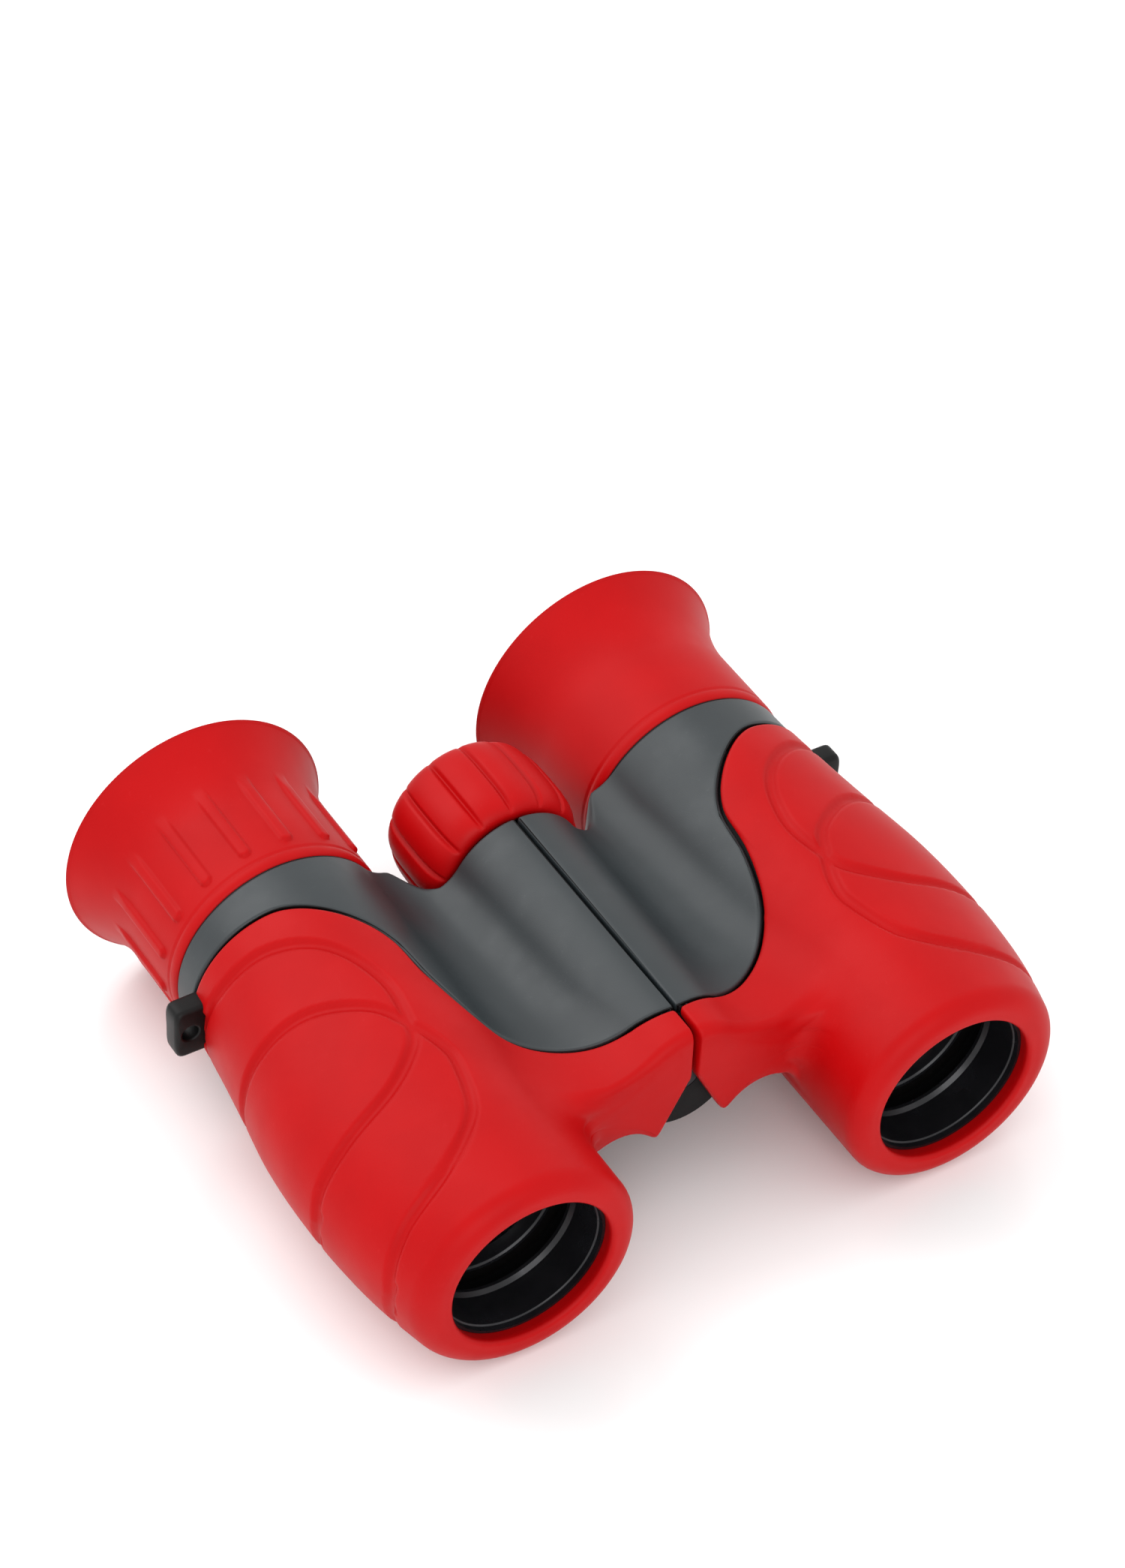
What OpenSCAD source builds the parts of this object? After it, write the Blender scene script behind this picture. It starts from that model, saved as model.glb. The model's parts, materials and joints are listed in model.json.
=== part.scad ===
// Children's folding binoculars, 8 x 21 class, with rubber armour and centre focus.
// Axes: +Z up, objectives towards -Y, eyecups towards +Y, hinge in the plane X = 0.
// Every y below is a distance behind the objective fronts, every r is measured from its own axis.

/* [Barrels] */
// Free space between the two barrels with the hinge fully open
barrel_gap = 35.6; // [34:0.1:40]
// Height of an armoured barrel
barrel_d = 34.4; // [33:0.1:38]
// From the objective front to the eyecup base
barrel_len = 71.8; // [69:0.2:78]
// How far the outer side of a barrel swells beyond its round
swell = 4.65; // [3:0.05:5.5]
// Place of the widest point of the swell
swell_y = 28.4; // [26:0.2:31]
// Radius of the swell seen from above
swell_arc_r = 87.5; // [84:0.5:96]

/* [Armour] */
// Thickness of the rubber skin
armour_t = 1.6; // [1.4:0.05:1.8]
// Rounding of the front lip
lip_round = 3; // [2:0.1:3.6]
// Width of the front lip
lip_w = 4.6; // [4:0.05:5.2]
// Depth of the front lip
lip_depth = 3.3; // [2.6:0.1:4]
// Depth of the chassis deck below the armour
deck_recess = 0.35; // [0.2:0.05:0.8]
// Open seam between the armour and the deck
seam = 0.4; // [0.2:0.05:0.8]

/* [Bridge] */
// Height of the hinge axis above the barrel axes
hinge_z = 4.9; // [4:0.1:6]
// Radius of the valley between bridge and barrel
valley_r = 7; // [5:0.1:8]
// Radius of the arch under the bridge
arch_r = 7; // [6:0.1:8]
// Height of the arch above the barrel axes
arch_z = 0.45; // [0:0.05:1]
// Front face of the bridge
bridge_front = 14.8; // [14:0.1:16]
// Thickness of the rubber front of the bridge
front_wall = 2.7; // [2:0.1:3]
// Free end of a barrel behind the bridge
collar_len = 7.5; // [6.5:0.1:8.5]
// Rounding of the top front edge of the bridge
front_round = 4; // [2:0.1:5]
// Width of the split between the two halves
split = 0.8; // [0.6:0.05:1.4]
// Height of the top of the folding notch above the barrel axes
notch_top_z = 7.2; // [6.5:0.1:8]
// Width of the flat foot beside the folding notch
foot_w = 1; // [0.6:0.05:1.4]
// Depth of the foot of the notch below the barrel axes
notch_foot_z = 2.5; // [2.4:0.05:3]

/* [Hinge] */
// Wall of the hinge tube
hinge_wall = 0.9; // [0.7:0.05:1.2]
// Free space around the spindle inside the hinge tube
spindle_room = 0.1; // [0.06:0.01:0.2]
// Wall of a hinge knuckle around the tube
knuckle_wall = 4.6; // [4:0.05:5]
// Wall of the bridge over a knuckle
hump_wall = 2.7; // [2.4:0.05:3.2]
// Free space between a knuckle and the other half
knuckle_room = 0.4; // [0.3:0.05:0.6]
// Length of a knuckle of the right half, as a share of the hinge
knuckle_share = 0.302; // [0.28:0.002:0.32]
// Thickness of a hinge washer
washer_t = 0.5; // [0.3:0.05:0.8]
// Thickness of the front bearing plate
bearing_t = 2.4; // [2:0.1:2.8]

/* [Focus] */
// Diameter of the focus knob
knob_d = 26.1; // [24:0.1:27]
// Width of the focus knob
knob_w = 14.4; // [12:0.1:16]
// Gap between the bridge and the focus knob
knob_gap = 3; // [2.4:0.1:4]
// Gap between the hinge tube and the focus knob
knob_clear = 1; // [0.6:0.05:1.4]
// Flutes around the focus knob
knob_flutes = 14; // [10:1:18]
// Depth of a flute
flute_depth = 0.8; // [0.4:0.05:1.2]
// Diameter of the knob hub
hub_d = 19; // [16:0.1:20]
// Diameter of the focus spindle
spindle_d = 6; // [5.6:0.05:6]
// Step from the spindle down to its front journal
journal_step = 0.5; // [0.3:0.05:1]
// Wall of the focus nut under its groove
nut_wall = 1.45; // [1:0.05:1.8]
// Depth of the nut's groove
groove_depth = 1.5; // [1:0.05:1.8]
// Free space between the nut and its bearing plate at the near limit
nut_room = 0.44; // [0.3:0.02:0.6]
// Thickness of a flange of the focus nut
nut_flange = 0.7; // [0.5:0.05:0.8]
// Thickness of a focus arm
arm_t = 2; // [1.6:0.05:2.4]
// Height of a focus arm
arm_h = 3; // [2.4:0.1:3.4]
// Height of the middle of a focus arm above the barrel axes
arm_z = 3.8; // [3.4:0.1:4.2]
// Rim of a focus arm around the nut
arm_rim = 1; // [0.8:0.05:1.4]
// Free space above and below a focus arm
arm_room = 0.4; // [0.3:0.05:0.6]
// Free space ahead of and behind the moving arms
window_room = 0.8; // [0.4:0.05:1]
// Objective travel towards the front
travel_near = 2.4; // [1.8:0.1:2.6]
// Objective travel towards the eyecups
travel_far = 0.6; // [0.3:0.1:0.8]

/* [Objective] */
// Wall of the chassis around an objective
chassis_wall = 1.8; // [1.6:0.05:2]
// Wall of a front sleeve
sleeve_wall = 0.6; // [0.5:0.05:0.9]
// Length of a front sleeve
sleeve_len = 6.8; // [5:0.1:7]
// Free space between an objective cell and its sleeve at the near limit
cell_room = 0.4; // [0.3:0.05:0.8]
// Length of an objective cell behind its focus arm
cell_tail = 1; // [0.6:0.05:1.4]
// Wall of an objective cell around its lens
cell_wall = 2.17; // [1.8:0.01:2.6]
// Width of the seat that stops an objective lens
objective_seat = 1; // [0.8:0.05:1.6]
// Edge thickness of an objective lens
objective_edge = 2; // [1.6:0.1:2.6]
// Crown of one face of an objective lens
objective_crown = 0.9; // [0.4:0.05:1.1]
// Thickness of an objective ring
ring_t = 1.6; // [1.2:0.1:2]

/* [Prisms] */
// Free space between an objective cell and the prism space at the far limit
prism_room = 1.25; // [1:0.05:1.8]
// Free space beside a prism
prism_side = 5.3; // [5:0.05:6.5]
// Free space above and below a prism
prism_head = 5.8; // [5.4:0.05:7]
// Thickness of a plate of the prism holder
plate_t = 2.2; // [1.8:0.1:2.6]
// Thickness of a rail of the prism holder
rail_t = 2; // [1.6:0.1:2.4]
// Free space at either end of the prism holder
holder_room = 0.8; // [0.5:0.05:1.2]
// Air gap between the two prisms
prism_gap = 0.8; // [0.4:0.05:1.2]

/* [Eyepiece] */
// How far an eyepiece tube stands out of its barrel
eyepiece_out = 9.78; // [9:0.02:11]
// Length of an eyepiece tube
tube_len = 24; // [23:0.1:25]
// Wall of an eyepiece tube
tube_wall = 1.5; // [1.2:0.05:1.8]
// Depth of the field lens inside its tube
field_depth = 1; // [0.6:0.05:1.6]
// Edge thickness of an eyepiece lens
eye_edge = 1.8; // [1.4:0.1:2.2]
// Crown of one face of an eyepiece lens
eye_crown = 0.9; // [0.4:0.05:1.1]
// Width of the seat that stops an eyepiece lens
seat_w = 1.3; // [1:0.05:1.6]
// Wall of the spigot that carries an eyecup
spigot_wall = 1.4; // [1.2:0.05:1.6]
// Length of the spigot
spigot_len = 8; // [6:0.1:9]
// Travel of the right eyepiece either way
dioptre_travel = 0.5; // [0.3:0.05:0.6]

/* [Eyecups] */
// Diameter of an eyecup rim
eyecup_rim_d = 42.7; // [40:0.1:45]
// Length of an eyecup
eyecup_len = 27.4; // [26:0.1:30]
// Thickness of an eyecup's rim
eyecup_wall = 1.2; // [1:0.05:1.6]
// Wall of an eyecup around its sleeve
cup_base_wall = 1.79; // [1.5:0.01:2]
// Wall of the sleeve under an eyecup
cup_sleeve_wall = 1.4; // [1.2:0.05:1.5]
// Length of the sleeve under an eyecup
cup_sleeve_len = 13; // [11:0.1:14]
// Ribs around the right eyecup
ribs = 16; // [12:1:20]
// Length of a rib
rib_len = 11.5; // [8:0.1:13]
// Radius of a rib
rib_r = 1.1; // [0.8:0.05:1.4]
// How far a rib stands out
rib_rise = 0.5; // [0.3:0.05:0.7]

/* [Strap lugs] */
// How far a lug stands out from the barrel's round
lug_out = 4.7; // [4.4:0.1:6]
// Height of a lug
lug_h = 9; // [7:0.1:10]
// Thickness of a lug along the barrel
lug_t = 3.6; // [3:0.1:4]
// From the middle of a lug to the back of its barrel
lug_back = 7.2; // [6.8:0.1:7.8]
// Diameter of the strap eye
eye_d = 2.6; // [2:0.1:2.8]
// Wall outside the strap eye
eye_wall = 1.1; // [0.9:0.05:1.5]
// Rounding of a lug's outer corners
lug_round = 1.4; // [0.8:0.1:1.8]

/* [Hidden] */
$fn = 96;

// Colours
red = [0.80, 0.07, 0.08];
grey = [0.30, 0.31, 0.33];
black = [0.06, 0.06, 0.07];
glass = [0.75, 0.85, 0.90];
steel = [0.70, 0.71, 0.73];
brass = [0.78, 0.62, 0.30];

// Fits: a glued or pressed seat, a running fit on a radius, and the overrun of every cut
glue = 0.05;
run_fit = 0.08;
shaft_fit = 0.05;
over = 1;

// Places of the main axes
front_y = -(barrel_len + eyecup_len) / 2;
axis_z = eyecup_rim_d / 2;
ipd = barrel_gap + barrel_d;
half_ipd = ipd / 2;
barrel_r = barrel_d / 2;
reach = ipd + barrel_d;
length = barrel_len + eyecup_len;
bridge_back = barrel_len - collar_len;
lug_y = barrel_len - lug_back;

// The swell is a bent pipe a little thinner than the barrel, so the two surfaces cross cleanly
swell_drop = 0.6;
// The pipe starts this far ahead of the objective front
swell_lead = 3;
swell_angle = asin((swell_y + swell_lead) / swell_arc_r);
// The front lip's rounding starts this far outside the barrel's round, and opens along this slope
nose_out = 0.75;
nose_slope_share = 1.5;
// The valley and the arch run a little way into the barrel before they stop
blend = 0.3;
arc_steps = 8;

// Edge of the deck on one half, from the split round to the outer side of the collar:
// x in shares of half the ipd, y in shares of the barrel length
deck_edge_shares = [
    [-0.05, 0.289], [0.2, 0.312], [0.386, 0.347], [0.557, 0.411], [0.669, 0.496], [0.743, 0.613],
    [0.777, 0.728], [0.886, 0.813], [1.069, 0.886], [1.257, 0.914], [1.66, 0.936]
];
curve_steps = 4;

// Hinge: the right half holds the front plate and the two outer knuckles, the left half the middle one
hinge_tube_r = spindle_d / 2 + spindle_room + hinge_wall;
knuckle_r = hinge_tube_r + knuckle_wall;
room_r = knuckle_r + knuckle_room;
hump_r = knuckle_r + hump_wall;
bearing_y = bridge_front + front_wall + glue;

// The arch ends at the flat foot beside the folding notch
arch_drop = arch_z - arch_r;
arch_x = half_ipd - sqrt(pow(barrel_r + arch_r - blend, 2) - arch_drop * arch_drop);
notch_foot_x = arch_x - sqrt(arch_r * arch_r - pow(notch_foot_z + arch_drop, 2)) - foot_w;

// Focus train, worked out from the bearing plate backwards
groove_r = spindle_d / 2 + shaft_fit + nut_wall;
nut_r = groove_r + groove_depth;
nut_y = bearing_y + bearing_t + travel_near + nut_room;
arm_left_y = nut_y + nut_flange + run_fit;
arm_right_y = arm_left_y + arm_t + run_fit + nut_flange;
nut_len = arm_right_y - nut_y;
window_front = arm_left_y - travel_near - window_room;
window_back = arm_right_y + arm_t + travel_far + window_room;
journal_r = spindle_d / 2 - journal_step;
spindle_front = bearing_y + shaft_fit;
knob_y = bridge_back + knob_gap;
cap_t = 0.8;
spindle_end = knob_y + knob_w - cap_t;
fork_r = groove_r + run_fit;

// Objective, from the barrel's wall inwards
bore_r = barrel_r - armour_t - chassis_wall;
cell_r = bore_r - run_fit;
objective_r = cell_r - cell_wall - glue;
clear_r = objective_r - objective_seat;
cell_y = lip_depth + glue + sleeve_len + travel_near + cell_room;
cell_len = arm_right_y + arm_t + cell_tail - cell_y;
lens_in = ring_t + objective_crown;
objective_sag = sag(objective_r, objective_crown, clear_r) + glue;

// Prism space, between the objective cell and the eyepiece tube
prism_front = cell_y + cell_len + travel_far + prism_room;
tube_y = barrel_len + eyepiece_out - tube_len;
prism_back = tube_y - dioptre_travel - run_fit;
prism_w = 2 * (bore_r - prism_side);
prism_h = 2 * (bore_r - prism_head);
holder_front = prism_front + holder_room;
holder_back = prism_back - holder_room;

// Knuckles along the hinge
right_knuckle = (bridge_back - prism_front) * knuckle_share;
rear_knuckle_y = bridge_back - right_knuckle;
front_knuckle_y = prism_front;
front_knuckle_end = front_knuckle_y + right_knuckle;
left_knuckle_y = front_knuckle_end + washer_t + shaft_fit;
left_knuckle_end = rear_knuckle_y - washer_t - shaft_fit;
hinge_tube_end = knob_y - knob_clear;

// Eyepiece, from the eyecup inwards
eyecup_r = barrel_r;
cup_sleeve_r = eyecup_r - cup_base_wall - glue;
spigot_r = cup_sleeve_r - cup_sleeve_wall - run_fit;
tube_r = spigot_r - spigot_wall - run_fit;
tube_bore_r = tube_r - tube_wall;
seat_r = tube_bore_r - seat_w;
eye_lens_r = tube_bore_r - glue;
eye_sag = sag(eye_lens_r, eye_crown, seat_r) + glue;
field_y = tube_y + field_depth + eye_crown;
field_seat_y = field_y + eye_edge + eye_sag;
eye_y = tube_y + tube_len - ring_t - eye_crown - eye_edge;
eye_seat_y = eye_y - eye_sag;
rim_r = eyecup_rim_d / 2;
cup_y = barrel_len + run_fit;
flare_start_share = 0.5;
flare_power = 2.2;
flare_steps = 12;
// Half a rib's pitch turns the first rib clear of the hinge side
rib_turn_share = 0.5;

// Shares used by the smaller pieces
prism_slant_share = 0.33;
rail_h_share = 0.6;
prism_window_share = 0.5;
grip_power = 2.6;
grip_steps = 10;
rib_start_share = 0.14;

// Helper functions

// Points of an arc about c with radius r from angle a to angle b
function arc(c, r, a, b, n = arc_steps) =
    [for (i = [0 : n]) c + r * [cos(a + (b - a) * i / n), sin(a + (b - a) * i / n)]];

// Direction of a plane vector
function heading(v) = atan2(v.y, v.x);

// Centre that lies d1 from point p and d2 from point q, on the side given by s
function meet(p, q, d1, d2, s) =
    let (d = norm(q - p), u = (q - p) / d, a = (d1 * d1 - d2 * d2 + d * d) / (2 * d))
    p + a * u + s * sqrt(d1 * d1 - a * a) * [-u.y, u.x];

// Point at t between b and c of a smooth curve through a, b, c and d
function spline_point(a, b, c, d, t) =
    (2 * b + (c - a) * t + (2 * a - 5 * b + 4 * c - d) * t * t + (3 * b - a - 3 * c + d) * t * t * t) / 2;

// Smooth curve through a list of points
function spline(p, n = curve_steps) =
    let (last = len(p) - 1)
    [for (i = [0 : last - 1], k = [0 : n - 1])
        spline_point(p[max(i - 1, 0)], p[i], p[i + 1], p[min(i + 2, last)], k / n),
     p[last]];

// A curve moved sideways by d, to its right
function shifted(p, d) =
    let (last = len(p) - 1)
    [for (i = [0 : last])
        let (t = p[min(i + 1, last)] - p[max(i - 1, 0)])
        p[i] + d * [t.y, -t.x] / norm(t)];

// Section of one half of the bridge, inset all round, with the barrel axis at height 0
function bridge_section(inset) =
    let (
        h = [0, hinge_z],
        b = [half_ipd, 0],
        v = meet(h, b, hump_r + valley_r, barrel_r + valley_r - blend, 1),
        a = [arch_x, arch_drop],
        rh = hump_r - inset,
        rv = valley_r + inset,
        ra = arch_r + inset,
        foot = [notch_foot_x, inset - notch_foot_z]
    )
    concat(
        arc(h, rh, acos(split / 2 / rh), heading(v - h)),
        arc(v, rv, heading(h - v), heading(b - v)),
        [b],
        arc(a, ra, heading(b - a), 180 - asin((foot.y - a.y) / ra)),
        [foot, [split / 2, notch_top_z]]
    );

// Height of a lens's crown at radius r above the plane of its edge
function sag(lens_r, crown, r) =
    let (ball = (lens_r * lens_r + crown * crown) / (2 * crown))
    sqrt(ball * ball - r * r) - ball + crown;

// Outer radius of an eyecup at a distance y behind its base
function flare(y) =
    let (t = max(0, (y / eyecup_len - flare_start_share) / (1 - flare_start_share)))
    eyecup_r + (rim_r - eyecup_r) * pow(t, flare_power);

// Placing

// Left half as drawn, right half as its mirror image
module half(side) {
    mirror([side < 0 ? 1 : 0, 0, 0])
        children();
}

// Along the left barrel's axis, z running backwards from the objective front
module on_barrel(y = 0) {
    translate([half_ipd, front_y + y, axis_z])
        rotate([-90, 0, 0])
            children();
}

// Along the hinge axis
module on_hinge(y = 0) {
    translate([0, front_y + y, axis_z + hinge_z])
        rotate([-90, 0, 0])
            children();
}

// A plain length of tube or rod
module tube(r, len, bore = 0) {
    difference() {
        cylinder(r = r, h = len);
        if (bore > 0)
            translate([0, 0, -over])
                cylinder(r = bore, h = len + 2 * over);
    }
}

// Everything between two distances behind the objective fronts
module slab(from, to) {
    translate([0, front_y + from, axis_z - reach / 2])
        cube([reach, to - from, reach]);
}

// Shared forms

// Barrel with its swollen outer side
module barrel_form(inset, from, to) {
    on_barrel(from)
        cylinder(r = barrel_r - inset, h = to - from);
    intersection() {
        translate([half_ipd + swell + swell_drop - swell_arc_r, front_y + swell_y, axis_z])
            rotate([0, 0, -swell_angle])
                rotate_extrude(angle = 2 * swell_angle)
                    translate([swell_arc_r, 0])
                        circle(r = barrel_r - inset - swell_drop);
        slab(from, to);
    }
}

// One half of the bridge between two distances
module bridge_form(inset, from, to) {
    translate([0, front_y + to, axis_z])
        rotate([90, 0, 0])
            linear_extrude(height = to - from)
                polygon(bridge_section(inset));
}

// Block over the part of a half that the armour leaves bare
module deck_block(gap) {
    edge = spline([for (s = deck_edge_shares) [s.x * half_ipd, s.y * barrel_len]]);
    line = shifted(edge, gap);
    far = line[len(line) - 1];
    translate([0, front_y, axis_z - reach / 2])
        linear_extrude(height = reach)
            polygon(concat(line, [[far.x, length], [line[0].x, length]]));
}

// Lug block, sunk through the armour to the chassis
module lug_form(gap) {
    top = lug_h / 2 + gap;
    out = barrel_r + lug_out + gap;
    ring = lug_round + gap;
    on_barrel(lug_y - lug_t / 2 - gap)
        linear_extrude(height = lug_t + 2 * gap)
            polygon(concat(
                [[0, -top]],
                arc([out - ring, ring - top], ring, -90, 0),
                arc([out - ring, top - ring], ring, 0, 90),
                [[0, top]]
            ));
}

// Lens with two crowned faces, its edge between 0 and edge
module lens(r, edge, crown) {
    ball = (r * r + crown * crown) / (2 * crown);
    half_angle = asin(r / ball);
    rotate_extrude()
        polygon(concat(
            arc([0, ball - crown], ball, -90, half_angle - 90),
            arc([0, edge + crown - ball], ball, 90 - half_angle, 90)
        ));
}

// Chassis of one half, solid around its own knuckles and open around those of the other half
module chassis(own, open) {
    own_bore = hinge_tube_r + (len(own) > 1 ? 0 : shaft_fit);
    color(grey)
        difference() {
            union() {
                difference() {
                    union() {
                        barrel_form(armour_t + glue, lip_depth + glue, barrel_len);
                        bridge_form(armour_t + glue, bearing_y, bridge_back);
                        difference() {
                            intersection() {
                                union() {
                                    barrel_form(deck_recess, bearing_y, barrel_len);
                                    bridge_form(deck_recess, bearing_y, bridge_back);
                                }
                                deck_block(0);
                            }
                            lug_form(run_fit);
                        }
                    }
                    for (range = open)
                        on_hinge(range[0])
                            cylinder(r = room_r, h = range[1] - range[0]);
                }
                for (range = own)
                    on_hinge(range[0])
                        cylinder(r = knuckle_r, h = range[1] - range[0]);
                on_barrel(bridge_back)
                    cylinder(r = spigot_r, h = collar_len + spigot_len);
            }
            on_barrel(0)
                cylinder(r = bore_r, h = prism_front + over);
            barrel_form(barrel_r - bore_r, prism_front, prism_back);
            on_barrel(prism_back - over)
                cylinder(r = tube_r + run_fit, h = length);
            on_hinge(front_knuckle_y - over)
                cylinder(r = own_bore, h = length);
            on_hinge(bearing_y - over)
                cylinder(r = journal_r + shaft_fit, h = bearing_t + 2 * over);
            translate([0, front_y + window_front, axis_z + arm_z - arm_h / 2 - arm_room])
                cube([half_ipd, window_back - window_front, arm_h + 2 * arm_room]);
        }
}

// Rubber skin of one half, wrapped round the barrel and the front of the bridge
module armour() {
    nose_r = barrel_r + nose_out;
    wide_r = nose_r + 2 * swell;
    wide_y = lip_round + 2 * swell * nose_slope_share;
    top_z = hinge_z + hump_r;
    brow = [bridge_front + front_round, top_z - front_round];
    color(red)
        difference() {
            union() {
                intersection() {
                    barrel_form(0, 0, barrel_len);
                    on_barrel(0)
                        rotate_extrude()
                            polygon(concat(
                                [[0, 0]],
                                arc([nose_r - lip_round, lip_round], lip_round, -90, 0),
                                [[wide_r, wide_y], [wide_r, length], [0, length]]
                            ));
                }
                intersection() {
                    bridge_form(0, bridge_front, bridge_back);
                    translate([-over, front_y, axis_z])
                        rotate([90, 0, 90])
                            linear_extrude(height = half_ipd + over)
                                polygon(concat(
                                    [[bridge_front, -barrel_r]],
                                    arc(brow, front_round, 180, 90),
                                    [[length, top_z], [length, -barrel_r]]
                                ));
                }
            }
            barrel_form(armour_t, lip_depth, length);
            bridge_form(armour_t, bearing_y - glue, length);
            deck_block(seam);
            lug_form(run_fit);
            on_hinge(bearing_y - glue)
                cylinder(r = room_r, h = length);
            on_barrel(-over)
                cylinder(r = barrel_r - lip_w, h = lip_depth + 2 * over);
        }
}

module strap_lug() {
    color(black)
        difference() {
            lug_form(0);
            barrel_form(armour_t, 0, length);
            on_barrel(lug_y - lug_t)
                translate([barrel_r + lug_out - eye_wall - eye_d / 2, 0, 0])
                    cylinder(d = eye_d, h = 2 * lug_t);
        }
}

module front_sleeve() {
    color(black)
        on_barrel(lip_depth + glue)
            tube(bore_r - glue, sleeve_len, bore_r - glue - sleeve_wall);
}

// Two plates joined by two rails, with the prisms held between them
module prism_holder() {
    inset = barrel_r - bore_r + run_fit;
    rail_h = prism_h * rail_h_share;
    rail_x = prism_w / 2 + run_fit;
    color(black)
        difference() {
            union() {
                barrel_form(inset, holder_front, holder_front + plate_t);
                barrel_form(inset, holder_back - plate_t, holder_back);
                for (x = [rail_x, -rail_x - rail_t])
                    on_barrel(holder_front)
                        translate([x, -rail_h / 2, 0])
                            cube([rail_t, rail_h, holder_back - holder_front]);
            }
            for (y = [holder_front, holder_back - plate_t])
                on_barrel(y - over)
                    cylinder(r = prism_h * prism_window_share, h = plate_t + 2 * over);
        }
}

// The pair of wedges that turns the picture upright
module prisms() {
    from = holder_front + plate_t + glue;
    to = holder_back - plate_t - glue;
    slant = (to - from) * prism_slant_share;
    mid = (from + to) / 2;
    top = prism_h / 2;
    gap = prism_gap / 2;
    color(glass)
        translate([half_ipd - prism_w / 2, front_y, axis_z])
            rotate([90, 0, 90])
                linear_extrude(height = prism_w) {
                    polygon([[from, -top], [mid + slant - gap, -top], [mid - slant - gap, top], [from, top]]);
                    polygon([[to, top], [mid - slant + gap, top], [mid + slant + gap, -top], [to, -top]]);
                }
}

module hinge_tube() {
    color(steel)
        on_hinge(front_knuckle_y)
            tube(hinge_tube_r, hinge_tube_end - front_knuckle_y, hinge_tube_r - hinge_wall);
}

module hinge_washers() {
    color(brass)
        for (y = [front_knuckle_end, rear_knuckle_y - washer_t])
            on_hinge(y)
                tube(knuckle_r, washer_t, hinge_tube_r);
}

// Focus knob: hub, cap and fluted grip on the spindle
module focus_hub() {
    color(black)
        on_hinge(knob_y)
            tube(hub_d / 2, spindle_end - knob_y, spindle_d / 2 + glue);
}

module focus_cap() {
    color(black)
        on_hinge(spindle_end)
            cylinder(r = hub_d / 2 - glue, h = cap_t);
}

module focus_grip() {
    r0 = hub_d / 2;
    swell_r = knob_d / 2 - r0;
    hw = knob_w / 2;
    rim = [for (i = [0 : grip_steps])
        let (a = 180 * i / grip_steps, c = cos(a), s = sin(a))
        [r0 + swell_r * pow(s, 2 / grip_power), hw - hw * sign(c) * pow(abs(c), 2 / grip_power)]];
    color(red)
        on_hinge(knob_y)
            difference() {
                rotate_extrude()
                    polygon(rim);
                for (i = [1 : knob_flutes])
                    rotate([0, 0, 360 * i / knob_flutes])
                        translate([knob_d / 2, 0, -over])
                            cylinder(r = flute_depth, h = knob_w + 2 * over);
            }
}

module focus_spindle() {
    color(steel)
        union() {
            on_hinge(spindle_front)
                cylinder(r = journal_r, h = bearing_t + spindle_d);
            on_hinge(spindle_front + bearing_t)
                cylinder(d = spindle_d, h = spindle_end - spindle_front - bearing_t);
        }
}

module focus_nut() {
    color(brass)
        on_hinge(nut_y)
            difference() {
                tube(nut_r, nut_len, spindle_d / 2 + shaft_fit);
                translate([0, 0, nut_flange])
                    difference() {
                        cylinder(r = nut_r + over, h = arm_t + 2 * run_fit);
                        translate([0, 0, -over])
                            cylinder(r = groove_r, h = arm_t + 2 * over);
                    }
            }
}

// Arm from the hinge to the objective cell, on a ring of its own bore; an open ring is a fork
module focus_arm(y, bore, open) {
    difference() {
        union() {
            on_hinge(y)
                cylinder(r = nut_r + arm_rim, h = arm_t);
            translate([0, front_y + y, axis_z + arm_z - arm_h / 2])
                cube([half_ipd, arm_t, arm_h]);
        }
        on_hinge(y - over)
            cylinder(r = bore, h = arm_t + 2 * over);
        if (open)
            on_hinge(y - over)
                translate([-2 * nut_r, -bore, 0])
                    cube([2 * nut_r, 2 * bore, arm_t + 2 * over]);
        on_barrel(0)
            cylinder(r = cell_r + glue, h = length);
    }
}

module right_focus_arm() {
    color(steel)
        half(-1)
            focus_arm(arm_right_y, spindle_d / 2 + shaft_fit, false);
}

module left_focus_arm() {
    color(steel)
        focus_arm(arm_left_y, fork_r, true);
}

module objective_cell() {
    color(black)
        on_barrel(cell_y)
            difference() {
                cylinder(r = cell_r, h = cell_len);
                translate([0, 0, -over])
                    cylinder(r = objective_r + glue, h = lens_in + objective_edge + objective_sag + over);
                cylinder(r = clear_r, h = cell_len + over);
            }
}

module objective_lens() {
    color(glass)
        on_barrel(cell_y + lens_in)
            lens(objective_r, objective_edge, objective_crown);
}

module objective_ring() {
    color(black)
        on_barrel(cell_y)
            tube(objective_r, lens_in - objective_sag, clear_r);
}

// Eyepiece tube with a seat for a lens at each end
module eyepiece_tube() {
    color(black)
        on_barrel(tube_y)
            difference() {
                cylinder(r = tube_r, h = tube_len);
                translate([0, 0, -over])
                    cylinder(r = seat_r, h = tube_len + 2 * over);
                translate([0, 0, -over])
                    cylinder(r = tube_bore_r, h = field_seat_y - tube_y + over);
                translate([0, 0, eye_seat_y - tube_y])
                    cylinder(r = tube_bore_r, h = tube_len);
            }
}

module field_lens() {
    color(glass)
        on_barrel(field_y)
            lens(eye_lens_r, eye_edge, eye_crown);
}

module eye_lens() {
    color(glass)
        on_barrel(eye_y)
            lens(eye_lens_r, eye_edge, eye_crown);
}

module eyepiece_ring() {
    color(black)
        on_barrel(eye_y + eye_edge + eye_sag)
            tube(eye_lens_r, ring_t + eye_crown - eye_sag, seat_r);
}

// Sleeve that carries an eyecup on the spigot
module cup_sleeve() {
    color(black)
        on_barrel(cup_y)
            tube(cup_sleeve_r, cup_sleeve_len, spigot_r + run_fit);
}

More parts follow.
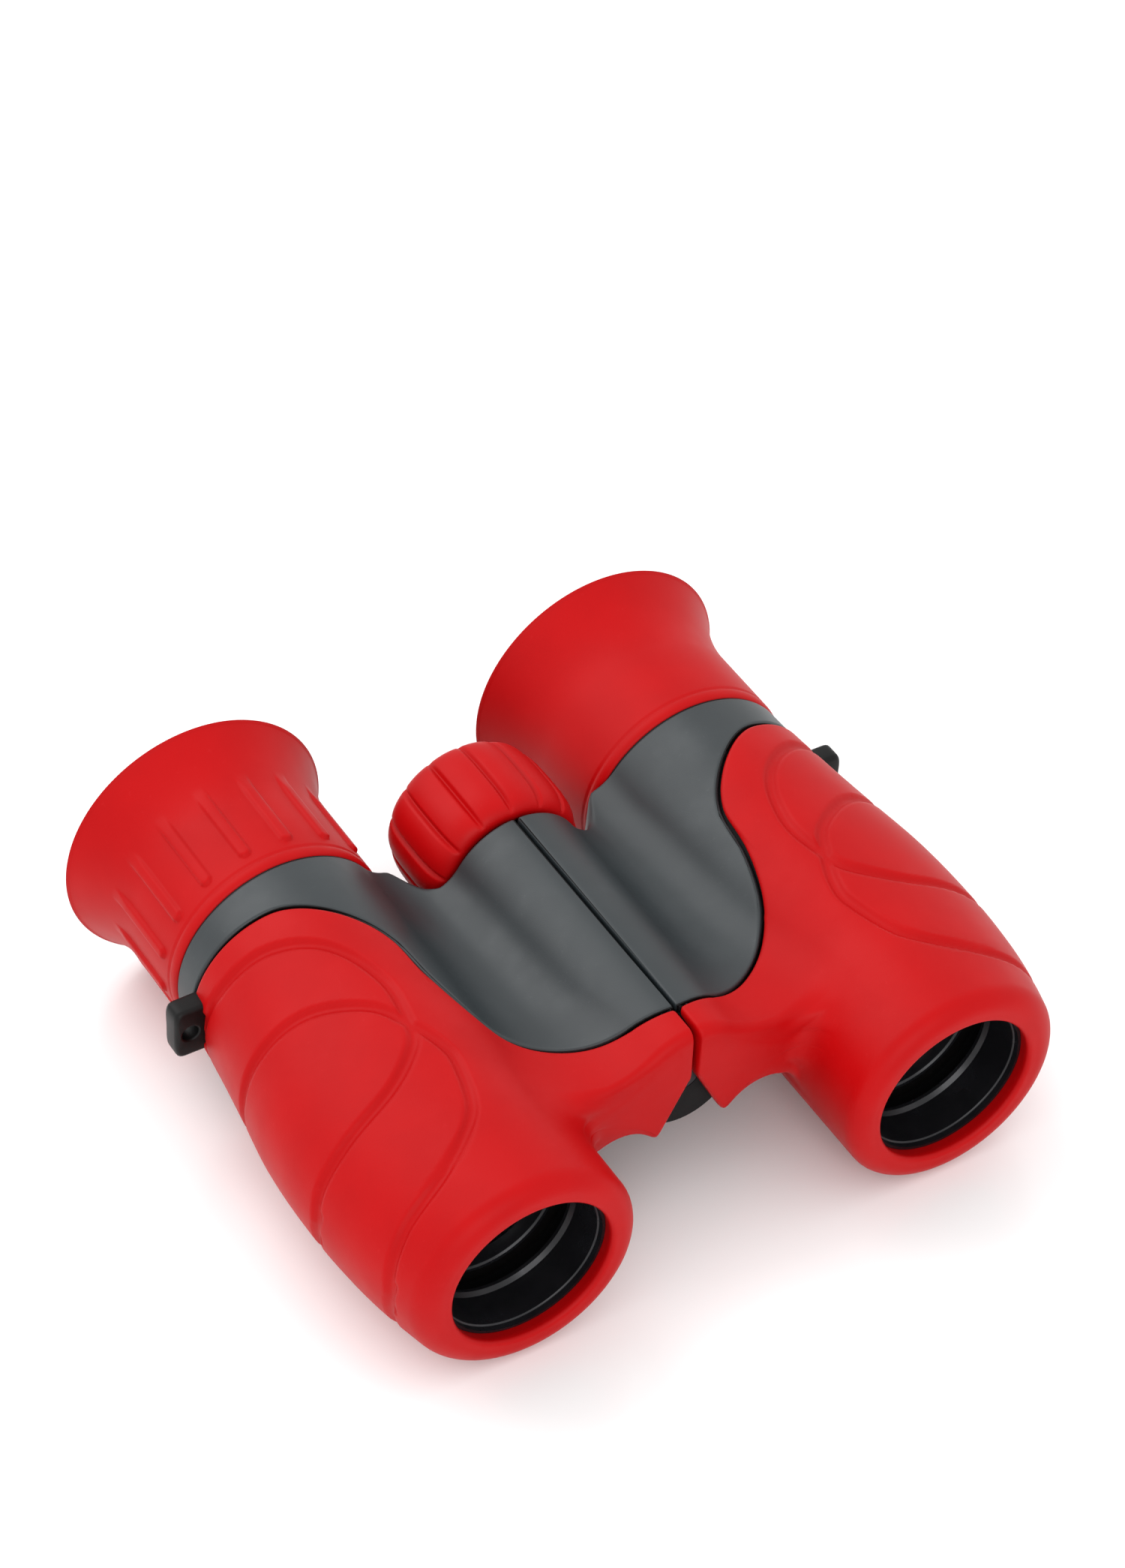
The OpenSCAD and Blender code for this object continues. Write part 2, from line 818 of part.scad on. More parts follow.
// Trumpet of an eyecup, hollow down to a lip over the end of its sleeve
module eyecup(rib_count) {
    len = eyecup_len - run_fit;
    lip = cup_sleeve_len + glue;
    steps = [for (i = [0 : flare_steps]) eyecup_len * i / flare_steps];
    outer = [for (y = steps) if (y > eyecup_wall) [flare(y), min(y, len)]];
    inner = [for (i = [flare_steps : -1 : 0])
        let (y = steps[i], d = min(y, len))
        if (y > lip + ring_t) [flare(y) - eyecup_wall - seat_w * (1 - d / len), d]];
    base = [[cup_sleeve_r + glue, 0], [eyecup_r - eyecup_wall / 2, 0], [eyecup_r, eyecup_wall]];
    seat = [[spigot_r, lip + ring_t], [spigot_r, lip], [cup_sleeve_r + glue, lip]];
    color(red)
        on_barrel(cup_y) {
            rotate_extrude()
                polygon(concat(base, outer, inner, seat));
            for (i = [1 : rib_count])
                rotate([0, 0, 360 * (i - rib_turn_share) / rib_count])
                    translate([eyecup_r - rib_r + rib_rise, 0, eyecup_len * rib_start_share]) {
                        cylinder(r = rib_r, h = rib_len);
                        sphere(r = rib_r);
                    }
        }
}

// The right half holds the bearing plate and the outer knuckles
module right_chassis() {
    plate_end = bearing_y + bearing_t;
    own = [[bearing_y, plate_end], [front_knuckle_y, front_knuckle_end], [rear_knuckle_y, bridge_back]];
    open = [[plate_end, front_knuckle_y], [front_knuckle_end, rear_knuckle_y]];
    half(-1)
        chassis(own, open);
}

// The left half holds the middle knuckle
module left_chassis() {
    own = [[left_knuckle_y, left_knuckle_end]];
    open = [[bearing_y - over, left_knuckle_y], [left_knuckle_end, bridge_back + over]];
    chassis(own, open);
}

right_chassis();
half(-1) armour();  // right_armour
half(-1) strap_lug();  // right_strap_lug
half(-1) front_sleeve();  // right_front_sleeve
half(-1) prism_holder();  // right_prism_holder
half(-1) prisms();  // right_prisms
hinge_tube();
hinge_washers();
left_chassis();
half(1) armour();  // left_armour
half(1) strap_lug();  // left_strap_lug
half(1) front_sleeve();  // left_front_sleeve
half(1) prism_holder();  // left_prism_holder
half(1) prisms();  // left_prisms
half(1) eyepiece_tube();  // left_eyepiece_tube
half(1) field_lens();  // left_field_lens
half(1) eye_lens();  // left_eye_lens
half(1) eyepiece_ring();  // left_eyepiece_ring
half(1) cup_sleeve();  // left_cup_sleeve
half(1) eyecup(0);  // left_eyecup
focus_grip();
focus_hub();
focus_cap();
focus_spindle();
focus_nut();
right_focus_arm();
half(-1) objective_cell();  // right_objective_cell
half(-1) objective_lens();  // right_objective_lens
half(-1) objective_ring();  // right_objective_ring
left_focus_arm();
half(1) objective_cell();  // left_objective_cell
half(1) objective_lens();  // left_objective_lens
half(1) objective_ring();  // left_objective_ring
half(-1) cup_sleeve();  // dioptre_ring
half(-1) eyecup(ribs);  // right_eyecup
half(-1) eyepiece_tube();  // right_eyepiece_tube
half(-1) field_lens();  // right_field_lens
half(-1) eye_lens();  // right_eye_lens
half(-1) eyepiece_ring();  // right_eyepiece_ring
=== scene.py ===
# %% [markdown]
# Children's folding binoculars in red rubber
#
# The CAD model gives every piece its place, its fits and its joints. This lesson dresses that frame in Blender:
# it models the skins that a hand or an eye meets, gives each surface its finish, and sets up a small photo studio.
# Each new surface is a grid of points worked out with numpy and turned into a mesh in one go.

import json
import math

import bpy
import numpy as np
from mathutils import Matrix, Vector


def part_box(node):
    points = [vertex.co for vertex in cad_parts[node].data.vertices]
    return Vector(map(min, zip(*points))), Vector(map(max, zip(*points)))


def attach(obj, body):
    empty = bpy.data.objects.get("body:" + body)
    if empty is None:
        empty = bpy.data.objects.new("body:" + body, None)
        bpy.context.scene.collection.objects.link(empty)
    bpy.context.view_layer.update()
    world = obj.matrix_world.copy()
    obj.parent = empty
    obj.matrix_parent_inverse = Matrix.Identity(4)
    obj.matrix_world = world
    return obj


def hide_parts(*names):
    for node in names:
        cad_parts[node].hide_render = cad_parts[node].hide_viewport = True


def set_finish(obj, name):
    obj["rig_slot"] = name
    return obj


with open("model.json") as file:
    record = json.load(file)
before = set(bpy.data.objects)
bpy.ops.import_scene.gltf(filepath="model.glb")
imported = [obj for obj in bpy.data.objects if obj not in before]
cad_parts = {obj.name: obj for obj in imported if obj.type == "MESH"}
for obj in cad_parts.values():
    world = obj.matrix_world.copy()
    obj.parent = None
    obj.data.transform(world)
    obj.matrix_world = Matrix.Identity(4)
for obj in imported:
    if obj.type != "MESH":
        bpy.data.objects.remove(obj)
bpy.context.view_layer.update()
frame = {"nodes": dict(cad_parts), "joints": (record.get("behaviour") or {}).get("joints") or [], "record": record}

# %% [markdown]
# Places come from the frame, so that the skins follow the CAD model if it is packed again. We work in
# millimetres on the barrel's own axes: x runs outwards from the hinge, y backwards from the objective front and
# z up from the barrel axis. One function at the end brings the points into the part's metres, and mirrors them
# for the other half.

# %% Read the main places
MM = 0.001


def corners_mm(node):
    """Lowest and highest corner of a CAD node, in millimetres."""
    low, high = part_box(node)
    return np.array(low) / MM, np.array(high) / MM


def middle_mm(node):
    """Middle of a CAD node's box, in millimetres."""
    low, high = corners_mm(node)
    return (low + high) / 2


AXIS_X, _, AXIS_Z = middle_mm("left_objective_lens")
FRONT_Y = corners_mm("left_armour")[0][1]
COLLAR_END = corners_mm("left_eyecup")[0][1] - FRONT_Y
LENGTH = corners_mm("left_eyecup")[1][1] - FRONT_Y
HINGE_Z = next(j for j in frame["joints"] if j["name"] == "fold")["pos_m"][2] / MM - AXIS_Z
print(f"barrel axis {AXIS_X:.2f}, hinge {HINGE_Z:.2f} above it, collar ends at {COLLAR_END:.2f} of {LENGTH:.2f} mm")


def placed(points, side):
    """Barrel millimetres to the part's metres: x times the side, then moved to the objective front and the axis."""
    return (points * (side, 1, 1) + (0, FRONT_Y, AXIS_Z)) * MM


# %% [markdown]
# Every piece ends in the same few steps: number the corners of the faces between neighbouring grid points, look
# at the sign of the volume that they enclose, turn them round if it is negative, and let the object ride on its
# CAD body. Doing this once keeps the modelling cells short.

# %% Grids to solid pieces
HALVES = {"right": -1, "left": 1}
pieces = {}


def grid_quads(rows, columns, wrap_rows=False, wrap_columns=False):
    """Faces between neighbouring points of a grid, its ends joined where asked."""
    i = np.arange(rows if wrap_rows else rows - 1)[:, None]
    j = np.arange(columns if wrap_columns else columns - 1)[None, :]
    here, above, right = i * columns, (i + 1) % rows * columns, (j + 1) % columns
    return np.stack([here + j, here + right, above + right, above + j], axis=-1).reshape(-1, 4)


def border(rows, columns):
    """Numbers of the points round the edge of a grid, in order."""
    index = np.arange(rows * columns).reshape(rows, columns)
    return np.concatenate([index[0, :-1], index[:-1, -1], index[-1, :0:-1], index[:0:-1, 0]])


def sheet_quads(rows, columns):
    """Faces of a sheet with a second grid behind it, and of the strip that joins their edges."""
    face = grid_quads(rows, columns)
    rim = border(rows, columns)
    after = np.roll(rim, -1)
    size = rows * columns
    strip = np.stack([after, rim, rim + size, after + size], axis=-1)
    return np.concatenate([face, face[:, ::-1] + size, strip])


def make_piece(name, points, quads, body, slot, *nodes):
    """Mesh object from points in metres: the faces look outwards when the enclosed volume is positive."""
    points = points.reshape(-1, 3)
    a, b, c, d = (points[quads[:, k]] for k in range(4))
    volume = (a * (np.cross(b, c) + np.cross(c, d))).sum()
    if volume < 0:
        quads = quads[:, ::-1]
    mesh = bpy.data.meshes.new(name)
    mesh.from_pydata(points.tolist(), [], quads.tolist())
    mesh.shade_smooth()
    mesh.update()
    obj = bpy.data.objects.new(name, mesh)
    bpy.context.scene.collection.objects.link(obj)
    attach(obj, body)
    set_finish(obj, slot)
    if nodes:
        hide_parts(*nodes)
    pieces[name] = obj
    print(f"{name}: {len(points)} points, {len(quads)} faces")
    return obj


# %% [markdown]
# The big form is one half of the body: a barrel that swells on its outer side and a bridge that rises over the
# hinge, dips into a valley and flows into the barrel. We describe it as a closed outline across the barrel. Its
# stretches are arcs and straight lines with fixed numbers of points, so that outlines at any y can be joined
# point to point. A second outline has the bridge folded back onto the barrel: between the two lies the front
# face of the bridge.

# %% Sizes of the outline, in millimetres
BARREL_R = 17.2
HUMP_R = 11.3
SPLIT = 0.8
VALLEY_FRONT_R, VALLEY_FRONT_Y = 10.0, 27.0
VALLEY_BACK_R, VALLEY_BACK_Y = 6.5, 64.3
SHALLOW_R, SHALLOW_Y, SHALLOW_RUN = 8.0, 37.0, 24.0
ARCH_R, ARCH_TOP, ARCH_BLEND = 7.0, 0.45, 0.3
NOTCH_TOP = 7.2
FOOT_X, FOOT_Z = 5.3, -2.5
SWELL_Y = np.array([0.0, 2, 5, 10, 18, 28, 38, 48, 58, 66, 75])
SWELL_HALF_WIDTH = np.array([17.3, 17.9, 18.8, 20.1, 21.3, 21.8, 21.4, 19.9, 18.5, 17.6, 17.2])
# Share of the barrel's inner arc that each stretch takes when it lies on the barrel, from the arch to the valley
FOLDED_SHARES = {
    "arch": ((0, 0.3, 0.58, 1), (0, 0.24, 0.44, 0.5)),
    "foot": ((0, 1), (0.5, 0.51)),
    "notch": ((0, 1), (0.51, 0.53)),
    "wall": ((0, 1), (0.53, 0.56)),
    "hump": ((0, 1), (0.56, 0.6)),
    "valley": ((0, 0.45, 0.7, 1), (0.6, 0.67, 0.8, 1)),
}
# The far stretches reach the barrel through the neck between arch and valley: how strongly, and the place to aim at
NECK_WEIGHTS = {"arch": ((0.35, 0.65), (0, 1)), "foot": ((0, 1), (1, 1)), "notch": ((0, 1), (1, 1)),
                "wall": ((0, 1), (1, 1)), "hump": ((0, 1), (1, 1)), "valley": ((0.3, 0.6), (1, 0))}
NECK_X = {"arch": ((0.4, 1), (14.5, 9.0)), "foot": ((0, 1), (9.0, 9.2)), "notch": ((0, 1), (9.2, 14.5)),
          "wall": ((0, 1), (14.5, 14.5)), "hump": ((0, 1), (14.5, 14.5)), "valley": ((0, 1), (14.5, 14.5))}
NECK_Z = {"arch": ((0.4, 1), (2.0, 2.5)), "foot": ((0, 1), (2.5, 2.6)), "notch": ((0, 1), (2.6, 3.2)),
          "wall": ((0, 1), (3.2, 3.7)), "hump": ((0, 1), (3.7, 4.6)), "valley": ((0, 0.5), (4.6, 6.2))}
# Beside the split the front edge draws in sideways by a share of its depth, over a reach from the split
SPLIT_EASE, SPLIT_REACH = 0.25, 6.0
# Points on each stretch: the rubber needs more round the barrel, for its channels
FINE = {"hump": 20, "valley": 24, "barrel": 270, "arch": 16, "foot": 4, "notch": 12, "wall": 14}
PLAIN = {**FINE, "barrel": 140}
print(f"barrel {2 * BARREL_R:.1f} mm high, {BARREL_R + SWELL_HALF_WIDTH.max():.1f} mm wide at its swell")


def smooth_through(stations, values, at):
    """Cubic curve through chosen stations, whose slope at each is the mean slope of its neighbours."""
    slope = np.gradient(values, stations)
    k = np.clip(np.searchsorted(stations, at) - 1, 0, len(stations) - 2)
    width = stations[k + 1] - stations[k]
    t = np.clip((at - stations[k]) / width, 0, 1)
    rise = t * t * (3 - 2 * t)
    lead = t * (1 - t) ** 2 * slope[k] - t * t * (1 - t) * slope[k + 1]
    return values[k] * (1 - rise) + values[k + 1] * rise + lead * width


def ease(t):
    """Smooth step from 0 to 1."""
    t = np.clip(t, 0, 1)
    return t * t * (3 - 2 * t)


# %% The outline of one half
def valley_at(y):
    """Centre and radius of the valley's arc, which touches the hump's circle and the barrel's. The radius grows
    towards the front, and faster near the end, where the valley runs out."""
    share = np.clip((VALLEY_BACK_Y - y) / (VALLEY_BACK_Y - VALLEY_FRONT_Y), 0, 1)
    radius = VALLEY_BACK_R + (VALLEY_FRONT_R - VALLEY_BACK_R) * share
    radius = radius + SHALLOW_R * ease((SHALLOW_Y - y) / SHALLOW_RUN)
    reach = math.hypot(AXIS_X, HINGE_Z)
    across, drop = AXIS_X / reach, HINGE_Z / reach
    to_hinge, to_axis = HUMP_R + radius, BARREL_R + radius
    along = (to_hinge**2 - to_axis**2 + reach**2) / (2 * reach)
    up = np.sqrt(to_hinge**2 - along**2)
    return along * across + up * drop, HINGE_Z - along * drop + up * across, radius


def on_barrel(angle, y):
    """Point of the barrel: a half circle on the hinge side and a half ellipse of the swell's width outside."""
    half_width = smooth_through(SWELL_Y, SWELL_HALF_WIDTH, y)
    side = np.where(np.cos(angle) > 0, half_width, BARREL_R)
    return np.stack([AXIS_X + side * np.cos(angle), BARREL_R * np.sin(angle)], axis=-1)


def on_circle(x, z, radius, angle):
    """Point of a circle."""
    return np.stack([x + radius * np.cos(angle), z + radius * np.sin(angle)], axis=-1)


def between(start, end, t):
    """Straight line from start to end, shaped like t with a last axis for x and z."""
    return np.array(start) + (np.array(end) - np.array(start)) * t[..., None]


def half_outline(y, spread, counts):
    """Outline of one half at each y of a rows by columns grid, clockwise from the split over the hump, valley,
    barrel, arch, foot and notch. Where spread is 1 the bridge stands out, where it is 0 it lies on the barrel."""
    ends = np.cumsum(list(counts.values()))
    part = {name: slice(end - n, end) for (name, n), end in zip(counts.items(), ends)}
    t = {name: np.arange(n)[None, :] / n for name, n in counts.items()}
    vx, vz, vr = valley_at(y)
    rise = np.arctan2(vz - HINGE_Z, vx)
    fall = np.arctan2(-vz, AXIS_X - vx) + 2 * np.pi
    drop = ARCH_TOP - ARCH_R
    arch_x = AXIS_X - math.sqrt((BARREL_R + ARCH_R - ARCH_BLEND) ** 2 - drop**2)
    arch_start = math.atan2(-drop, AXIS_X - arch_x)
    arch_end = math.pi - math.asin((FOOT_Z - drop) / ARCH_R)
    arch_foot = on_circle(arch_x, drop, ARCH_R, np.array(arch_end))
    top = math.acos(SPLIT / 2 / HUMP_R)
    top_point = on_circle(0, HINGE_Z, HUMP_R, np.array(top))
    apex = (SPLIT / 2, NOTCH_TOP)

    def mix(name, start, end):
        start, end = (np.broadcast_to(v, y.shape)[:, part[name]] for v in (start, end))
        return start + (end - start) * t[name]

    def at(name, value):
        return np.broadcast_to(value, y.shape)[:, part[name]]

    barrel = on_barrel(mix("barrel", fall - np.pi, arch_start - np.pi), at("barrel", y))
    rows = np.ones((len(y), 1))
    out = np.concatenate([
        on_circle(0, HINGE_Z, HUMP_R, mix("hump", top, rise)),
        on_circle(at("valley", vx), at("valley", vz), at("valley", vr), mix("valley", rise + np.pi, fall)),
        barrel,
        on_circle(arch_x, drop, ARCH_R, mix("arch", arch_start, arch_end)),
        between(arch_foot, (FOOT_X, FOOT_Z), rows * t["foot"]),
        between((FOOT_X, FOOT_Z), apex, rows * t["notch"]),
        between(apex, top_point, rows * t["wall"]),
    ], axis=1)

    def folded(name):
        share = np.interp(t[name], *FOLDED_SHARES[name])
        angle = arch_start + np.pi + (at(name, fall) - 2 * np.pi - arch_start) * share
        return on_barrel(angle, at(name, y))

    back = np.concatenate([folded("hump"), folded("valley"), barrel, folded("arch"), folded("foot"),
                           folded("notch"), folded("wall")], axis=1)
    return back + (out - back) * np.broadcast_to(spread, y.shape)[..., None]


def softened(outline, times=2):
    """Each point moves to the quarter, half, quarter mean of its neighbours, which rounds the corners."""
    for _ in range(times):
        outline = (np.roll(outline, 1, axis=1) + 2 * outline + np.roll(outline, -1, axis=1)) / 4
    return outline


def outward(outline):
    """Unit vectors across a clockwise outline, pointing out of it."""
    step = np.roll(outline, -1, axis=1) - np.roll(outline, 1, axis=1)
    normal = np.stack([-step[..., 1], step[..., 0]], axis=-1)
    return normal / np.maximum(np.linalg.norm(normal, axis=-1, keepdims=True), 1e-9)


def per_column(table, counts):
    """Values of a table of stretches at every column, 0 on stretches that it leaves out."""
    rows = [np.interp(np.arange(n) / n, *table.get(name, ((0, 1), (0, 0)))) for name, n in counts.items()]
    return np.concatenate(rows)[None, :, None]


def through_neck(standing, folded, counts):
    """Middle point of each column's way across the front face: half way, or in the neck for the far stretches."""
    half_way = (standing + folded) / 2
    neck = np.concatenate([per_column(NECK_X, counts), per_column(NECK_Z, counts)], axis=-1)
    return half_way + per_column(NECK_WEIGHTS, counts) * (neck - half_way)


def sunk(outline, depth, counts):
    """The outline drawn in across itself by the depth. The wall beside the split goes down with the hump's top and
    hardly sideways, so that the two never cross."""
    depth = depth[..., None]
    moved = outline - outward(outline) * depth
    top = depth[:, :1] * np.array([SPLIT_EASE, -1.0])
    hump, wall = counts["hump"], counts["wall"]
    from_hinge = outline[:, :hump] - (0, HINGE_Z)
    from_hinge /= np.linalg.norm(from_hinge, axis=-1, keepdims=True)
    moved[:, :hump] = outline[:, :hump] - from_hinge * depth[:, :hump]
    near = 1 - ease(outline[:, :hump, 0] / SPLIT_REACH)
    moved[:, :hump, 0] += near * top[..., 0]
    down = np.stack([np.ones(wall), np.arange(wall) / wall], axis=-1)
    moved[:, -wall:] = outline[:, -wall:] + top * down
    return moved


def skin(y, spread, inset, counts, sink=0.0):
    """Points of the surface at depth inset below the outline. The sink draws the bridge in across its own outline
    before the spread carries it along a curve to the barrel, so that its front edge can be rounded."""
    y = np.asarray(y, float)
    standing, folded = (softened(half_outline(y, share, counts)) for share in (1.0, 0.0))
    standing = sunk(standing, np.broadcast_to(sink, y.shape), counts)
    middle = through_neck(standing, folded, counts)
    w = np.broadcast_to(spread, y.shape)[..., None]
    outline = (1 - w) ** 2 * folded + 2 * w * (1 - w) * middle + w**2 * standing
    outline = outline - outward(outline) * np.broadcast_to(inset, y.shape)[..., None]
    return np.stack([outline[..., 0], y, outline[..., 1]], axis=-1)


# %% [markdown]
# The rubber ends along a line that sweeps from the hinge round to the outer side of the collar, and the grey
# deck begins a seam's width behind it. Seen from above the line is a smooth curve through a few points. For a
# column of the grid we need its y, which depends on the column's x, which changes a little with y: a few rounds
# of looking it up settle that.

# %% The line between rubber and deck
EDGE_X = np.array([-1.75, 7.0, 13.5, 19.5, 23.4, 26.0, 27.2, 31.0, 37.4, 44.0, 58.1])
EDGE_Y = np.array([20.75, 22.4, 24.9, 29.5, 35.6, 44.0, 52.3, 58.4, 63.6, 65.6, 67.2])
SEAM = 0.5
EDGE_STEPS, EDGE_LOOKUPS = 400, 8


def edge_line(shift):
    """The curve through the edge points, moved forwards across itself by the shift."""
    along = np.arange(len(EDGE_X), dtype=float)
    at = np.linspace(0, along[-1], EDGE_STEPS)
    line = np.stack([smooth_through(along, EDGE_X, at), smooth_through(along, EDGE_Y, at)], axis=-1)
    step = np.gradient(line, axis=0)
    step /= np.linalg.norm(step, axis=1, keepdims=True)
    return line + shift * np.stack([step[:, 1], -step[:, 0]], axis=-1)


def edge_of_columns(shift, counts):
    """For each column, the y where the line crosses it and how much longer the way along y is than across."""
    line = edge_line(shift)
    line = line[np.argsort(line[:, 0])]
    slope = np.gradient(line[:, 1], line[:, 0])
    y = np.full((1, sum(counts.values())), EDGE_Y.mean())
    for _ in range(EDGE_LOOKUPS):
        x = half_outline(y, 1.0, counts)[..., 0]
        y = np.interp(x, line[:, 0], line[:, 1])
    return y[0], np.sqrt(1 + np.interp(x, line[:, 0], slope)[0] ** 2)


print(f"the rubber's edge runs from y {EDGE_Y[0]:.1f} at the hinge to {EDGE_Y[-1]:.1f} mm at the outer side")

# %% [markdown]
# Two shallow channels wind over each barrel and cross on its top. We give each as a short list of places on the
# barrel, as an angle from the outer side and a y, and lay a smooth curve through them. The channels are real
# geometry: each point of the skin sinks by an amount that depends on its distance to the nearest channel.

# %% The channels in the rubber
LONG_CHANNEL = np.array([
    (-8, 63), (0, 62.3), (30, 60.9), (61, 59), (84, 53.8), (95, 44.5), (92.5, 36.7), (86.5, 31.4), (68.5, 26.3),
    (42, 24.1), (18.6, 23.2), (0, 22.3), (-8, 22)])
SHORT_CHANNEL = np.array([
    (-8, 46.3), (5, 46.4), (34, 46.8), (60, 45.5), (82, 41), (91, 35.8), (98, 30.3), (98.6, 25.5), (88, 16.4),
    (64.5, 10.2), (35, 8), (7, 6.5), (-8, 6)])
CHANNEL_DEPTH = 0.62
CHANNEL_HALF_WIDTH = 1.15
CHANNEL_STEEPNESS = 1.4
CHANNEL_STEPS, CHANNEL_STRETCH = 360, 8


def channel_points(places):
    """Points along a channel and along its mirror image under the barrel."""
    along = np.arange(len(places), dtype=float)
    at = np.linspace(0, along[-1], CHANNEL_STEPS)
    angle = np.radians(smooth_through(along, places[:, 0], at))
    y = smooth_through(along, places[:, 1], at)
    top = on_barrel(angle, y)
    line = np.stack([top[:, 0], y, top[:, 1]], axis=-1)
    return np.concatenate([line, line * (1, 1, -1)])


def channel_inset(points):
    """Depth of the channels at each point: a smooth step of the distance to the nearest channel."""
    flat = points.reshape(-1, 3)
    nearest = np.full(len(flat), np.inf)
    line = np.concatenate([channel_points(LONG_CHANNEL), channel_points(SHORT_CHANNEL)])
    for stretch in np.array_split(line, len(line) // CHANNEL_STRETCH):
        far = np.linalg.norm(flat[:, None, :] - stretch[None, :, :], axis=2).min(axis=1)
        nearest = np.minimum(nearest, far)
    depth = CHANNEL_DEPTH * ease(CHANNEL_STEEPNESS * (1 - nearest / CHANNEL_HALF_WIDTH))
    return depth.reshape(points.shape[:2])


for title, places in (("long", LONG_CHANNEL), ("short", SHORT_CHANNEL)):
    top = channel_points(places)[:CHANNEL_STEPS]
    print(f"{title} channel: {np.linalg.norm(np.diff(top, axis=0), axis=1).sum():.0f} mm over the barrel")

# %% [markdown]
# Now the rubber skin itself. Its rows run out of the mouth over the lip, along the barrel, out over the front
# face of the bridge, back to the edge line, down over the edge and home along the inside, so the grid closes on
# itself both ways and the skin is a solid with the thickness of real armour. The front face is the stretch where
# the bridge unfolds: a hollow curve leaves the barrel, a nearly flat face follows, and a rounding leads to the top.

# %% Rows of the front lip and the front face
MOUTH_R, MOUTH_BACK_R, MOUTH_DEPTH, MOUTH_ROUND = 12.62, 13.15, 3.3, 0.7
LIP_ROUND, LIP_FLAT_SHARES = 2.8, (0.25, 0.5, 0.75)
MOUTH_WALL_ROWS, MOUTH_ROUND_ROWS, LIP_ROUND_ROWS = 5, 6, 12
BRIDGE_FRONT, FRONT_WALL = 14.8, 2.65
FACE_SLOPE = 0.12
HOLLOW, TURN_SHARE = 4.5, 0.42
FACE_TURN_ROWS, FACE_FLAT_ROWS = 11, 9
BROW_ROUND, SIDE_ROUND, NOTCH_ROUND = 1.7, 1.3, 0.7
BROW_END_X, BROW_FADE = 5.0, 6.0
BROW_BELOW_NOTCH, BROW_RISE = 2.0, 6.0
# Where the face runs out on the barrel it turns into a long soft slope, from before the front to behind it
SOFT_BEFORE, SOFT_AFTER = 6.0, 5.0
SOFT_ENDS = {"valley": ((0.4, 0.95), (0, 1)), "barrel": ((0, 0.1, 0.93, 1), (1, 0, 0, 0.8)),
             "arch": ((0, 0.35), (0.8, 0))}
ARMOUR_T = 1.6
HINGE_ROOM_R = 9.5
EDGE_ROUND = 0.55
EDGE_WALL_SHARES = (0.4, 0.7, 1.0)


def barrel_angles(counts):
    """Angle on the barrel of each column of the folded outline."""
    ring = half_outline(np.zeros((1, sum(counts.values()))), 0.0, counts)[0]
    return np.arctan2(ring[:, 1], ring[:, 0] - AXIS_X)


def lip_rows(counts):
    """Rows from the back of the mouth, over its rounded edge and the flat of the lip, to the outer rounding."""
    columns = sum(counts.values())
    angle = barrel_angles(counts)
    turn = np.linspace(0, np.pi / 2, MOUTH_ROUND_ROWS)
    wall_depth = np.linspace(MOUTH_DEPTH, MOUTH_ROUND, MOUTH_WALL_ROWS)[:-1]
    wall_r = np.linspace(MOUTH_BACK_R, MOUTH_R, MOUTH_WALL_ROWS)[:-1]
    depth = np.concatenate([wall_depth, MOUTH_ROUND * (1 - np.sin(turn))])
    radius = np.concatenate([wall_r, MOUTH_R + MOUTH_ROUND * (1 - np.cos(turn))])
    mouth = on_circle(AXIS_X, 0, radius[:, None], angle[None, :])
    mouth = np.stack([mouth[..., 0], np.repeat(depth[:, None], columns, 1), mouth[..., 1]], axis=-1)
    turn = np.linspace(0, np.pi / 2, LIP_ROUND_ROWS)[:, None]
    ones = np.ones((1, columns))
    outer = skin(LIP_ROUND * (1 - np.cos(turn)) * ones, 0.0, LIP_ROUND * (1 - np.sin(turn)) * ones, counts)
    flat = [mouth[-1] + (outer[0] - mouth[-1]) * share for share in LIP_FLAT_SHARES]
    return np.concatenate([mouth, np.stack(flat), outer])


def front_round(counts):
    """Rounding of the front edge at each column: broad over the hump, tight beside the notch and the arch."""
    outline = half_outline(np.full((1, sum(counts.values())), BRIDGE_FRONT), 1.0, counts)[0]
    from_hinge = np.hypot(outline[:, 0], outline[:, 1] - HINGE_Z)
    upper = ease((outline[:, 1] - NOTCH_TOP + BROW_BELOW_NOTCH) / BROW_RISE)
    near_split = ease((from_hinge - HINGE_ROOM_R) / (HUMP_R - HINGE_ROOM_R)) * upper
    brow = NOTCH_ROUND + (BROW_ROUND - NOTCH_ROUND) * near_split
    away = ease((outline[:, 0] - BROW_END_X) / BROW_FADE)
    side = NOTCH_ROUND + (SIDE_ROUND - NOTCH_ROUND) * ease((outline[:, 1] + BARREL_R) / (2 * BARREL_R))
    rounding = brow + (side - brow) * away
    wall = counts["wall"]
    rounding[-wall:] = NOTCH_ROUND + (BROW_ROUND - NOTCH_ROUND) * np.arange(wall) / wall
    return rounding


